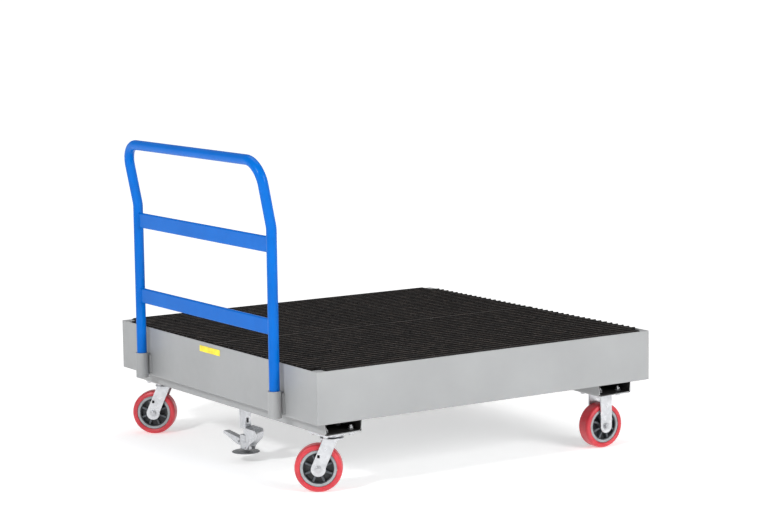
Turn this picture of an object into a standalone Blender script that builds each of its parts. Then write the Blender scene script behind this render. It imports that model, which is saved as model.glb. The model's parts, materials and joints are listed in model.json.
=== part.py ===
"""Spill-containment drum dolly: a square sump tank with a bar-grating deck, carried by two channel
bolsters, two swivel and two rigid casters, a floor lock and a lift-out push handle.

Units are metres and +Z is up. The handle end is at -X, the operator's right is -Y, the floor is z = 0,
and the origin is on the floor under the middle of the whole object.
"""

import math

import bmesh
import bpy
from mathutils import Matrix, Vector

INCH = 0.0254
GAP = 0.0003

# Tank and deck
DECK_LENGTH = 51 * INCH
DECK_WIDTH = 51 * INCH
TANK_HEIGHT = 6.5 * INCH
SHEET = 0.0034
CORNER_PLATE = 0.032
CORNER_PLATE_THICKNESS = 0.003
LEDGE_WIDTH = 0.025
LEDGE_THICKNESS = 0.005

# Bar grating
GRATE_DEPTH = 1 * INCH
GRATE_PROUD = 0.0045
BAR_THICKNESS = 0.0048
BAR_PITCH = 1.1875 * INCH
BARS_PER_PANEL = 22
ROD_THICKNESS = 0.006
ROD_PITCH = 20 * INCH
RODS_PER_PANEL = 3
PANEL_SPLIT = 0.0064
GRATE_END_CLEARANCE = 0.0015

# Support beams under the grating
BEAM_X = DECK_LENGTH / 6
BEAM_WEB = 0.005
BEAM_FLANGE_WIDTH = 0.038
BEAM_FLANGE_THICKNESS = 0.004
LIMBER_RADIUS = 0.018
LIMBER_STEPS = 8
LOCATOR_TAB = (0.014, 0.005)

# Running gear heights
CASTER_HEIGHT = 7.5 * INCH
BOLSTER_HEIGHT = 1.5 * INCH
BOLSTER_WIDTH = 5.25 * INCH
BOLSTER_THICKNESS = 0.0045
BOLSTER_X = {"handle_end": -21.5 * INCH, "far_end": 20.15 * INCH}
BOLSTER_ENDS = {
    "handle_end": (-24.9 * INCH, 24.0 * INCH),
    "far_end": (-25.0 * INCH, 25.0 * INCH),
}
TANK_BOTTOM = CASTER_HEIGHT + BOLSTER_HEIGHT
WALL_TOP = TANK_BOTTOM + TANK_HEIGHT
GRATE_TOP = WALL_TOP + GRATE_PROUD
GRATE_BOTTOM = GRATE_TOP - GRATE_DEPTH

# Casters
WHEEL_RADIUS = 2.95 * INCH
WHEEL_HALF_WIDTH = 1 * INCH
TREAD_BORE = 0.0580
CORE_RADIUS = 0.0572
AXLE_RADIUS = 0.0063
HUB_BORE = 0.0070
SWIVEL_AXIS = {"right": (-21.5 * INCH, -22.2 * INCH), "left": (-21.2 * INCH, 21.2 * INCH)}
RIGID_X = 20.5 * INCH
RIGID_Y = 21.5 * INCH
SWIVEL_TRAIL = 0.042
SWIVEL_YAW = {"right": math.radians(146), "left": math.radians(140)}
PLATE_LONG = 4.5 * INCH
PLATE_SHORT = 4 * INCH
PLATE_THICKNESS = 0.0064
PLATE_TOP = CASTER_HEIGHT - GAP
PLATE_BOTTOM = PLATE_TOP - PLATE_THICKNESS
FORK_INSIDE = 0.0290
FORK_SHEET = 0.0050
FORK_OUTSIDE = FORK_INSIDE + FORK_SHEET
FORK_END_RADIUS = 0.0230
SWIVEL_LEG_TOP = (-0.020, 0.026)
CROWN_TOP = 0.1712
CROWN_RADIUS = 0.038
KINGPIN_RADIUS = 0.0079

# Handle
TUBE_RADIUS = 0.6575 * INCH
TUBE_WALL = 0.0024
HANDLE_Y = 17.5 * INCH
HANDLE_STANDOFF = 0.030
SOCKET_RADIUS = 0.83 * INCH
SOCKET_BORE = 0.69 * INCH
SOCKET_BOTTOM = 0.2260
SOCKET_TOP = 0.3110
SOCKET_BASE = 0.004
BEND_HEIGHT = 0.818
BEND_RADIUS = 0.10
TOP_HEIGHT = 1.0255
TOP_REACH = 0.0402
CORNER_RADIUS = 3 * INCH
CROSSBAR_HEIGHT = 2 * INCH
CROSSBAR_THICKNESS = 0.0127
CROSSBAR_LEVELS = {"upper": 0.7654, "lower": 0.5094}

# The deck sits forward of the origin by half the handle's overhang.
HANDLE_OVERHANG = HANDLE_STANDOFF + TOP_REACH + TUBE_RADIUS
DECK_X = HANDLE_OVERHANG / 2
HANDLE_END = DECK_X - DECK_LENGTH / 2
FAR_END = DECK_X + DECK_LENGTH / 2
SIDE = DECK_WIDTH / 2
HANDLE_X = HANDLE_END - HANDLE_STANDOFF

# Label
LABEL_SIZE = (0.0008, 0.135, 0.020)
LABEL_CENTRE = (0.019, 0.3715)

# Floor lock, measured from its plunger's axis
LOCK_X = DECK_X - 21.6 * INCH
LOCK_Y = -0.030
LOCK_PLATE = (0.090, 0.080, 0.005)
HOUSING_HALF = (0.0115, 0.0186)
HOUSING_BOTTOM = 0.110
STEM_RADIUS = 0.0055
SPRING_CAVITY = 0.0098
PAD_RADIUS = 0.046
PAD_TOP = 0.0370
SOLE_BOTTOM = 0.0305
PEDAL_PIN = (-0.022, 0.0500)
RELEASE_PIN = (0.030, 0.0620)
LOCK_PIN_RADIUS = 0.0030
TREAD_TILT = 0.28
PEDAL_WIDTH = 0.029
PEDAL_SHEET = 0.0025

COLLECTION = "drum_dolly"
ROUND_STEPS = 24

STEEL_GREY = ((0.53, 0.54, 0.55), 0.45, 0.1)
GRATE_BLACK = ((0.03, 0.028, 0.027), 0.5, 0.3)
HANDLE_BLUE = ((0.005, 0.14, 0.68), 0.35, 0.0)
ZINC = ((0.72, 0.73, 0.74), 0.35, 0.9)
POLYURETHANE = ((0.72, 0.05, 0.06), 0.35, 0.0)
CORE_GREY = ((0.20, 0.22, 0.25), 0.5, 0.3)
LABEL_YELLOW = ((0.90, 0.68, 0.03), 0.5, 0.0)
RUBBER = ((0.04, 0.04, 0.04), 0.8, 0.0)


# ---------------------------------------------------------------- helpers


def clear_scene():
    for obj in list(bpy.data.objects):
        bpy.data.objects.remove(obj)


def make_collection(name):
    collection = bpy.data.collections.new(name)
    bpy.context.scene.collection.children.link(collection)
    return collection


clear_scene()
PARTS = make_collection(COLLECTION)
CUTTERS = make_collection("cutters")


def set_finish(obj, finish):
    """Give the object a Principled material of its own."""
    colour, roughness, metallic = finish
    material = bpy.data.materials.new(obj.name)
    material.use_nodes = True
    shader = material.node_tree.nodes["Principled BSDF"]
    shader.inputs["Base Color"].default_value = (*colour, 1.0)
    shader.inputs["Roughness"].default_value = roughness
    shader.inputs["Metallic"].default_value = metallic
    obj.data.materials.clear()
    obj.data.materials.append(material)


def as_part(obj, finish, parent=None):
    """Turn a loose shape into a node of the object."""
    PARTS.objects.link(obj)
    set_finish(obj, finish)
    obj.parent = parent
    obj.data.shade_smooth()
    obj.data.set_sharp_from_angle(angle=math.radians(35))
    return obj


def as_tool(obj, parent=None):
    """Keep a shape as a hidden cutter or as a piece that a Boolean joins."""
    CUTTERS.objects.link(obj)
    obj.parent = parent
    obj.hide_render = True
    obj.display_type = "WIRE"
    return obj


def boolean(obj, tool, operation):
    modifier = obj.modifiers.new(f"{operation}_{tool.name}".lower(), "BOOLEAN")
    modifier.operation = operation
    modifier.solver = "EXACT"
    modifier.object = tool


def cut(obj, *tools):
    for tool in tools:
        boolean(obj, as_tool(tool, obj.parent), "DIFFERENCE")


def join(obj, *tools):
    for tool in tools:
        boolean(obj, as_tool(tool, obj.parent), "UNION")


def mesh_object(name, build):
    """An object whose mesh is filled in by build(bm)."""
    mesh = bpy.data.meshes.new(name)
    bm = bmesh.new()
    build(bm)
    bmesh.ops.recalc_face_normals(bm, faces=bm.faces)
    bm.to_mesh(mesh)
    bm.free()
    return bpy.data.objects.new(name, mesh)


def box(name, low, high):
    """A box between two opposite corners, with its origin at its centre."""
    low = Vector(low)
    high = Vector(high)

    def build(bm):
        bmesh.ops.create_cube(bm, size=1.0)
        bmesh.ops.scale(bm, vec=high - low, verts=bm.verts)

    obj = mesh_object(name, build)
    obj.location = (low + high) / 2
    return obj


def round_edges(obj, width, segments=2):
    modifier = obj.modifiers.new("rounded", "BEVEL")
    modifier.width = width
    modifier.segments = segments
    modifier.limit_method = "ANGLE"


def cylinder(name, radius, low, high, axis="Z", steps=ROUND_STEPS):
    """A cylinder between two points that differ along one axis."""
    low = Vector(low)
    high = Vector(high)

    def build(bm):
        depth = (high - low).length
        bmesh.ops.create_cone(
            bm, cap_ends=True, segments=steps, radius1=radius, radius2=radius, depth=depth
        )

    obj = mesh_object(name, build)
    obj.location = (low + high) / 2
    turns = {"X": (0, math.pi / 2, 0), "Y": (math.pi / 2, 0, 0), "Z": (0, 0, 0)}
    obj.rotation_euler = turns[axis]
    return obj


def turned(name, profile, steps=ROUND_STEPS, closed=False):
    """Turn (radius, height) points, given down the outer side first, about the local Z axis."""
    count = len(profile)
    links = [(i, i + 1) for i in range(count - 1)]
    if closed:
        links.append((count - 1, 0))
    mesh = bpy.data.meshes.new(name)
    mesh.from_pydata([(radius, 0.0, height) for radius, height in profile], links, [])
    obj = bpy.data.objects.new(name, mesh)
    screw = obj.modifiers.new("turned", "SCREW")
    screw.steps = steps
    screw.render_steps = steps
    screw.use_merge_vertices = True
    screw.merge_threshold = 0.00002
    return obj


def rounded(points, steps=4, cyclic=True):
    """Replace each (point, radius) corner by an arc; works for flat outlines and for tube paths."""
    corners = [(Vector(point), radius) for point, radius in points]
    count = len(corners)
    path = []
    for i, (corner, radius) in enumerate(corners):
        is_end = not cyclic and i in (0, count - 1)
        if radius == 0 or is_end:
            path.append(corner)
            continue
        back = (corners[i - 1][0] - corner).normalized()
        ahead = (corners[(i + 1) % count][0] - corner).normalized()
        half = back.angle(ahead) / 2
        centre = corner + (back + ahead).normalized() * radius / math.sin(half)
        start = corner + back * radius / math.tan(half) - centre
        end = corner + ahead * radius / math.tan(half) - centre
        sweep = math.pi - 2 * half
        for k in range(steps + 1):
            t = k / steps
            arm = (start * math.sin((1 - t) * sweep) + end * math.sin(t * sweep)) / math.sin(sweep)
            path.append(centre + arm)
    return path


def curve_to_object(name, curve):
    """Evaluate a curve, weld its caps and hand it over as a mesh object."""
    source = bpy.data.objects.new(name + "_curve", curve)
    CUTTERS.objects.link(source)
    graph = bpy.context.evaluated_depsgraph_get()
    mesh = bpy.data.meshes.new_from_object(source.evaluated_get(graph))
    mesh.name = name
    bm = bmesh.new()
    bm.from_mesh(mesh)
    bmesh.ops.remove_doubles(bm, verts=bm.verts, dist=0.00002)
    bmesh.ops.recalc_face_normals(bm, faces=bm.faces)
    bm.to_mesh(mesh)
    bm.free()
    bpy.data.objects.remove(source)
    bpy.data.curves.remove(curve)
    return bpy.data.objects.new(name, mesh)


def add_spline(curve, points, cyclic):
    spline = curve.splines.new("POLY")
    spline.points.add(len(points) - 1)
    for target, point in zip(spline.points, points):
        target.co = (*point, *([0.0] * (3 - len(point))), 1.0)
    spline.use_cyclic_u = cyclic


PLANES = {
    "XY": (0, 0, 0),
    "XZ": (math.pi / 2, 0, 0),
    "YZ": (math.pi / 2, 0, math.pi / 2),
}


def plate(name, outline, thickness, plane, centre=(0, 0, 0)):
    """A flat outline in the named plane, given thickness either side of that plane."""
    half = thickness / 2

    def build(bm):
        low = [bm.verts.new((point[0], point[1], -half)) for point in outline]
        high = [bm.verts.new((point[0], point[1], half)) for point in outline]
        bm.faces.new(low)
        bm.faces.new(high)
        for i in range(len(outline)):
            bm.faces.new((low[i - 1], low[i], high[i], high[i - 1]))
        bmesh.ops.triangulate(bm, faces=bm.faces)

    obj = mesh_object(name, build)
    obj.rotation_euler = PLANES[plane]
    obj.location = centre
    return obj


def tube(name, path, radius, sides, capped=True, cyclic=False):
    """A round bar along a path of points."""
    curve = bpy.data.curves.new(name, "CURVE")
    curve.dimensions = "3D"
    curve.bevel_depth = radius
    curve.bevel_resolution = sides // 2 - 2
    curve.use_fill_caps = capped
    add_spline(curve, [tuple(point) for point in path], cyclic)
    return curve_to_object(name, curve)


# ---------------------------------------------------------------- tank


def make_tank():
    floor = box(
        "tank_floor",
        (HANDLE_END, -SIDE, TANK_BOTTOM),
        (FAR_END, SIDE, TANK_BOTTOM + SHEET),
    )
    as_part(floor, STEEL_GREY)
    base = TANK_BOTTOM + SHEET + GAP
    for name, x in (("handle_end", HANDLE_END), ("far_end", FAR_END - SHEET)):
        wall = box(f"tank_wall_{name}", (x, -SIDE, base), (x + SHEET, SIDE, WALL_TOP))
        as_part(wall, STEEL_GREY)
    inset = SHEET + GAP
    for name, y in (("right", -SIDE), ("left", SIDE - SHEET)):
        wall = box(
            f"tank_wall_{name}",
            (HANDLE_END + inset, y, base),
            (FAR_END - inset, y + SHEET, WALL_TOP),
        )
        as_part(wall, STEEL_GREY)


def make_corner_plates():
    reach_x = DECK_LENGTH / 2 - SHEET - GAP
    reach_y = SIDE - SHEET - GAP
    for x_name, x_sign in (("handle", -1), ("far", 1)):
        for y_name, y_sign in (("right", -1), ("left", 1)):
            outer = Vector((DECK_X + x_sign * reach_x, y_sign * reach_y))
            inner = outer - Vector((x_sign, y_sign)) * CORNER_PLATE
            low = (min(outer.x, inner.x), min(outer.y, inner.y), WALL_TOP - CORNER_PLATE_THICKNESS)
            high = (max(outer.x, inner.x), max(outer.y, inner.y), WALL_TOP)
            as_part(box(f"corner_plate_{x_name}_{y_name}", low, high), STEEL_GREY)


def make_ledges():
    """Flat bars on the end walls that carry the ends of the bearing bars."""
    half = SIDE - SHEET - GAP
    top = GRATE_BOTTOM - GAP
    bottom = top - LEDGE_THICKNESS
    inner = HANDLE_END + SHEET + GAP
    outer = FAR_END - SHEET - GAP
    for name, low_x in (("handle_end", inner), ("far_end", outer - LEDGE_WIDTH)):
        ledge = box(
            f"grate_ledge_{name}", (low_x, -half, bottom), (low_x + LEDGE_WIDTH, half, top)
        )
        as_part(ledge, STEEL_GREY)


def beam_web_outline(half, bottom, top):
    """Web of a support beam, seen along X, with three half-round drain holes along its foot."""
    outline = [(half, top), (-half, top), (-half, bottom)]
    for y in (-half / 2, 0, half / 2):
        for k in range(LIMBER_STEPS + 1):
            angle = math.pi * (1 - k / LIMBER_STEPS)
            rise = LIMBER_RADIUS * math.sin(angle)
            outline.append((y + LIMBER_RADIUS * math.cos(angle), bottom + rise))
    outline.append((half, bottom))
    return outline


def make_support_beams():
    """T-section beams across the sump, with drain holes and a tab that parts the grating panels."""
    bottom = TANK_BOTTOM + SHEET + GAP
    top = GRATE_BOTTOM - GAP
    half = SIDE - SHEET - GAP
    neck = top - BEAM_FLANGE_THICKNESS
    outline = beam_web_outline(half - 0.0001, bottom, neck + BEAM_FLANGE_THICKNESS / 2)
    for name, x in (("handle_side", DECK_X - BEAM_X), ("far_side", DECK_X + BEAM_X)):
        reach = BEAM_FLANGE_WIDTH / 2
        beam = box(f"support_beam_{name}", (x - reach, -half, neck), (x + reach, half, top))
        as_part(beam, STEEL_GREY)
        half_x, half_y = LOCATOR_TAB[0] / 2, LOCATOR_TAB[1] / 2
        tab = box(
            f"{beam.name}_tab",
            (x - half_x, -half_y, top - BEAM_FLANGE_THICKNESS / 4),
            (x + half_x, half_y, GRATE_TOP - 0.001),
        )
        join(beam, plate(f"{beam.name}_web", outline, BEAM_WEB, "YZ", (x, 0, 0)), tab)


# ---------------------------------------------------------------- grating


def slot_array(name, size, first, counts, steps):
    """A block repeated along X and Y, used to cut the spaces between bars."""
    low = Vector(first)
    block = box(name, low, low + Vector(size))
    for axis, (count, step) in enumerate(zip(counts, steps)):
        if count < 2:
            continue
        array = block.modifiers.new("repeat", "ARRAY")
        array.count = count
        array.use_relative_offset = False
        array.use_constant_offset = True
        array.constant_offset_displace = [step if i == axis else 0.0 for i in range(3)]
    return block


def make_grating_panel(name, side):
    """One half of the deck: bearing bars along X, held by cross bars, with free bar ends."""
    half_length = DECK_LENGTH / 2 - SHEET - GRATE_END_CLEARANCE
    width = (BARS_PER_PANEL - 1) * BAR_PITCH + BAR_THICKNESS
    near = PANEL_SPLIT / 2 if side > 0 else -PANEL_SPLIT / 2 - width
    panel = box(
        name,
        (DECK_X - half_length, near, GRATE_BOTTOM),
        (DECK_X + half_length, near + width, GRATE_TOP),
    )
    as_part(panel, GRATE_BLACK)
    spaces = BARS_PER_PANEL - 1
    space = BAR_PITCH - BAR_THICKNESS
    first_y = near + BAR_THICKNESS
    below = GRATE_BOTTOM - GRATE_DEPTH / 2
    depth = 2 * GRATE_DEPTH
    first_rod = DECK_X - ROD_PITCH * (RODS_PER_PANEL - 1) / 2
    last_rod = DECK_X + ROD_PITCH * (RODS_PER_PANEL - 1) / 2
    cell = ROD_PITCH - ROD_THICKNESS
    end_cut = DECK_X - half_length - GRATE_DEPTH
    end_length = first_rod - ROD_THICKNESS / 2 - end_cut
    cut(
        panel,
        slot_array(
            f"{name}_spaces",
            (cell, space, depth),
            (first_rod + ROD_THICKNESS / 2, first_y, below),
            (RODS_PER_PANEL - 1, spaces),
            (ROD_PITCH, BAR_PITCH),
        ),
        slot_array(
            f"{name}_near_ends",
            (end_length, space, depth),
            (end_cut, first_y, below),
            (1, spaces),
            (0, BAR_PITCH),
        ),
        slot_array(
            f"{name}_far_ends",
            (end_length, space, depth),
            (last_rod + ROD_THICKNESS / 2, first_y, below),
            (1, spaces),
            (0, BAR_PITCH),
        ),
    )
    notch = CORNER_PLATE + 2 * GRATE_END_CLEARANCE
    for x_sign in (-1, 1):
        corner = Vector((DECK_X + x_sign * DECK_LENGTH / 2, side * SIDE))
        inner = corner - Vector((x_sign, side)) * (notch + SHEET)
        low = (min(corner.x, inner.x), min(corner.y, inner.y), below)
        high = (max(corner.x, inner.x), max(corner.y, inner.y), below + depth)
        cut(panel, box(f"{name}_notch_{'far' if x_sign > 0 else 'handle'}", low, high))


# ---------------------------------------------------------------- bolsters


def make_bolsters():
    """U-channels whose webs carry the casters and whose flanges are welded under the tank."""
    half = BOLSTER_WIDTH / 2
    inner = half - BOLSTER_THICKNESS
    low = CASTER_HEIGHT
    web = CASTER_HEIGHT + BOLSTER_THICKNESS
    high = TANK_BOTTOM - GAP
    outline = rounded(
        [
            ((-half, low), 0.006),
            ((half, low), 0.006),
            ((half, high), 0),
            ((inner, high), 0),
            ((inner, web), 0.002),
            ((-inner, web), 0.002),
            ((-inner, high), 0),
            ((-half, high), 0),
        ],
        steps=3,
    )
    for name, x in BOLSTER_X.items():
        right, left = BOLSTER_ENDS[name]
        centre = (DECK_X + x, (right + left) / 2, 0)
        as_part(plate(f"bolster_{name}", outline, left - right, "XZ", centre), STEEL_GREY)


# ---------------------------------------------------------------- casters


def make_wheel(name, hub):
    """Tread and core of one wheel; the parent empty stands on the axle line, axle along local Y."""
    tread_profile = [
        (TREAD_BORE, 0.0225),
        (0.0660, WHEEL_HALF_WIDTH),
        (0.0725, 0.0225),
        (WHEEL_RADIUS, 0.0140),
        (WHEEL_RADIUS, -0.0140),
        (0.0725, -0.0225),
        (0.0660, -WHEEL_HALF_WIDTH),
        (TREAD_BORE, -0.0225),
    ]
    core_profile = [
        (CORE_RADIUS, 0.0222),
        (CORE_RADIUS, -0.0222),
        (0.0490, -0.0222),
        (0.0470, -0.0060),
        (0.0190, -0.0060),
        (0.0170, -0.0265),
        (HUB_BORE, -0.0265),
        (HUB_BORE, 0.0265),
        (0.0170, 0.0265),
        (0.0190, 0.0060),
        (0.0470, 0.0060),
        (0.0490, 0.0222),
    ]
    tread = as_part(turned(f"{name}_tread", tread_profile, closed=True), POLYURETHANE, hub)
    core = as_part(turned(f"{name}_core", core_profile, 20, closed=True), CORE_GREY, hub)
    for piece in (tread, core):
        piece.rotation_euler = (math.pi / 2, 0, 0)


def make_axle(name, hub):
    """Axle bolt with a hexagon head and nut outside the fork legs."""
    end = FORK_OUTSIDE + GAP
    axle = cylinder(name, AXLE_RADIUS, (0, -end - 0.002, 0), (0, end + 0.002, 0), "Y", 16)
    as_part(axle, ZINC, hub)
    for side, sign in (("nut", -1), ("head", 1)):
        a, b = sorted((sign * end, sign * (end + 0.006)))
        join(axle, cylinder(f"{name}_{side}", 0.0100, (0, a, 0), (0, b, 0), "Y", 6))


def fork_leg(name, outline, sign):
    middle = sign * (FORK_INSIDE + FORK_SHEET / 2)
    return plate(name, rounded(outline, 3), FORK_SHEET, "XZ", (0, middle, 0))


def axle_hole(name, x):
    reach = FORK_OUTSIDE + 0.01
    return cylinder(
        name, 0.0068, (x, -reach, WHEEL_RADIUS), (x, reach, WHEEL_RADIUS), "Y", 16
    )


def leg_outline(top_rear, top_front, top, axle_x):
    """A fork leg: wide at the top, tapering to a round end about the axle."""
    end = FORK_END_RADIUS
    low = WHEEL_RADIUS - end
    return [
        ((top_rear, top), 0),
        ((top_front, top), 0),
        ((axle_x + end, WHEEL_RADIUS + 0.004), 0.02),
        ((axle_x + end, low), end * 0.98),
        ((axle_x - end, low), end * 0.98),
        ((axle_x - end, WHEEL_RADIUS + 0.004), 0.02),
    ]


def empty(name, location, yaw=0.0, parent=None):
    obj = bpy.data.objects.new(name, None)
    PARTS.objects.link(obj)
    obj.location = location
    obj.rotation_euler = (0, 0, yaw)
    obj.parent = parent
    return obj


def make_swivel_caster(side):
    """Swivel caster: plate, race and kingpin are fixed; fork and wheel turn about the kingpin."""
    name = f"swivel_caster_{side}"
    x = DECK_X + SWIVEL_AXIS[side][0]
    y = SWIVEL_AXIS[side][1]
    fixed = empty(f"{name}_mount", (x, y, 0))
    half_x, half_y = PLATE_LONG / 2, PLATE_SHORT / 2
    top_plate = box(
        f"{name}_plate", (-half_x, -half_y, PLATE_BOTTOM), (half_x, half_y, PLATE_TOP)
    )
    as_part(top_plate, ZINC, fixed)
    race_top = PLATE_BOTTOM - GAP
    race = turned(
        f"{name}_race",
        [
            (0.0400, race_top),
            (0.0400, race_top - 0.0040),
            (0.0350, race_top - 0.0098),
            (0.0230, race_top - 0.0098),
            (0.0090, race_top - 0.0060),
            (0.0090, race_top),
        ],
        closed=True,
    )
    as_part(race, ZINC, fixed)
    head_top = CROWN_TOP - FORK_SHEET - 0.0006
    kingpin = turned(
        f"{name}_kingpin",
        [
            (0, race_top - GAP),
            (KINGPIN_RADIUS, race_top - GAP),
            (KINGPIN_RADIUS, head_top),
            (0.0125, head_top),
            (0.0125, head_top - 0.0070),
            (0, head_top - 0.0070),
        ],
        16,
    )
    as_part(kingpin, ZINC, fixed)

    turning = empty(f"{name}_swivel", (x, y, 0), SWIVEL_YAW[side])
    fork = cylinder(
        f"{name}_fork",
        CROWN_RADIUS,
        (0, 0, CROWN_TOP - FORK_SHEET),
        (0, 0, CROWN_TOP),
    )
    as_part(fork, ZINC, turning)
    rear, front = SWIVEL_LEG_TOP
    outline = leg_outline(rear, front, CROWN_TOP - 0.0006, SWIVEL_TRAIL)
    strap = box(
        f"{name}_crown",
        (rear, -FORK_OUTSIDE, CROWN_TOP - FORK_SHEET + 0.0003),
        (front, FORK_OUTSIDE, CROWN_TOP - 0.0006),
    )
    join(
        fork,
        strap,
        fork_leg(f"{name}_leg_a", outline, -1),
        fork_leg(f"{name}_leg_b", outline, 1),
    )
    cut(
        fork,
        cylinder(f"{name}_king_hole", 0.0086, (0, 0, 0.150), (0, 0, 0.190), "Z", 16),
        axle_hole(f"{name}_axle_hole", SWIVEL_TRAIL),
        box(
            f"{name}_window",
            (0.0365, -FORK_OUTSIDE - 0.01, 0.110),
            (0.0450, FORK_OUTSIDE + 0.01, 0.120),
        ),
    )
    axle_line = empty(f"{name}_axle_line", (SWIVEL_TRAIL, 0, WHEEL_RADIUS), parent=turning)
    make_axle(f"{name}_axle", axle_line)
    make_wheel(f"{name}_wheel", axle_line)


def make_rigid_caster(side, sign):
    """Rigid caster: the legs are welded to the plate and the wheel rolls along X."""
    name = f"rigid_caster_{side}"
    base = empty(f"{name}_mount", (DECK_X + RIGID_X, sign * RIGID_Y, 0))
    half_x, half_y = PLATE_SHORT / 2, PLATE_LONG / 2
    fork = box(f"{name}_fork", (-half_x, -half_y, PLATE_BOTTOM), (half_x, half_y, PLATE_TOP))
    as_part(fork, ZINC, base)
    outline = leg_outline(-FORK_END_RADIUS, FORK_END_RADIUS, PLATE_BOTTOM + 0.002, 0)
    join(
        fork,
        fork_leg(f"{name}_leg_a", outline, -1),
        fork_leg(f"{name}_leg_b", outline, 1),
    )
    cut(fork, axle_hole(f"{name}_axle_hole", 0))
    axle_line = empty(f"{name}_axle_line", (0, 0, WHEEL_RADIUS), parent=base)
    make_axle(f"{name}_axle", axle_line)
    make_wheel(f"{name}_wheel", axle_line)


# ---------------------------------------------------------------- handle


def handle_path():
    """Centre line of the handle, from the foot of one leg over the top to the other foot."""
    foot = SOCKET_BOTTOM + SOCKET_BASE + 0.0015
    lean_x = HANDLE_X - TOP_REACH
    half = [
        ((HANDLE_X, HANDLE_Y, foot), 0),
        ((HANDLE_X, HANDLE_Y, BEND_HEIGHT), BEND_RADIUS),
        ((lean_x, HANDLE_Y, TOP_HEIGHT), CORNER_RADIUS),
    ]
    other = [((x, -y, z), radius) for (x, y, z), radius in reversed(half)]
    return rounded(half + other, steps=5, cyclic=False)


def make_handle():
    frame = as_part(tube("handle_tube", handle_path(), TUBE_RADIUS, 12, capped=False), HANDLE_BLUE)
    wall = frame.modifiers.new("wall", "SOLIDIFY")
    wall.thickness = TUBE_WALL
    wall.offset = -1
    wall.use_even_offset = True
    half_x = CROSSBAR_THICKNESS / 2
    half_y = HANDLE_Y - TUBE_RADIUS - GAP
    half_z = CROSSBAR_HEIGHT / 2
    for name, level in CROSSBAR_LEVELS.items():
        bar = box(
            f"handle_crossbar_{name}",
            (HANDLE_X - half_x, -half_y, level - half_z),
            (HANDLE_X + half_x, half_y, level + half_z),
        )
        as_part(bar, HANDLE_BLUE)
        round_edges(bar, 0.0045)


def make_sockets():
    for side, sign in (("right", -1), ("left", 1)):
        y = sign * HANDLE_Y
        socket = turned(
            f"handle_socket_{side}",
            [
                (0, SOCKET_BOTTOM + SOCKET_BASE),
                (SOCKET_BORE, SOCKET_BOTTOM + SOCKET_BASE),
                (SOCKET_BORE, SOCKET_TOP),
                (SOCKET_RADIUS, SOCKET_TOP),
                (SOCKET_RADIUS, SOCKET_BOTTOM),
                (0, SOCKET_BOTTOM),
            ],
            24,
        )
        as_part(socket, STEEL_GREY)
        socket.location = (HANDLE_X, y, 0)
        bracket = box(
            f"socket_bracket_{side}",
            (HANDLE_X + SOCKET_RADIUS + GAP, y - 0.010, SOCKET_BOTTOM + 0.010),
            (HANDLE_END - GAP, y + 0.010, SOCKET_TOP - 0.008),
        )
        as_part(bracket, STEEL_GREY)


def make_label():
    depth, width, height = LABEL_SIZE
    y, z = LABEL_CENTRE
    face = HANDLE_END - GAP
    label = box(
        "face_label",
        (face - depth, y - width / 2, z - height / 2),
        (face, y + width / 2, z + height / 2),
    )
    as_part(label, LABEL_YELLOW)


# ---------------------------------------------------------------- floor lock


def make_lock_housing(lock):
    """Mounting plate with the plunger guide box and the latch strap beside it."""
    half_x, half_y, depth = LOCK_PLATE[0] / 2, LOCK_PLATE[1] / 2, LOCK_PLATE[2]
    plate_bottom = PLATE_TOP - depth
    housing = box(
        "lock_housing", (-half_x, -half_y, plate_bottom), (half_x, half_y, PLATE_TOP)
    )
    as_part(housing, ZINC, lock)
    box_x, box_y = HOUSING_HALF
    strap_outline = rounded(
        [
            ((-0.0095, 0.128), 0),
            ((-0.0095, 0.070), 0.0055),
            ((0.0025, 0.070), 0.0055),
            ((0.0025, 0.128), 0),
        ],
        4,
    )
    strap = plate("lock_strap", strap_outline, 0.003, "XZ", (0, -box_y - 0.0010, 0))
    guide = box(
        "lock_guide", (-box_x, -box_y, HOUSING_BOTTOM), (box_x, box_y, plate_bottom + 0.001)
    )
    join(housing, guide, strap)
    cut(
        housing,
        cylinder(
            "lock_cavity", SPRING_CAVITY, (0, 0, HOUSING_BOTTOM + 0.004), (0, 0, 0.2), "Z", 20
        ),
        cylinder("lock_stem_hole", 0.0062, (0, 0, 0.1), (0, 0, 0.13), "Z", 16),
        box("lock_slot", (-0.0065, -0.030, 0.1326), (0.0022, -0.008, 0.1480)),
    )


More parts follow.
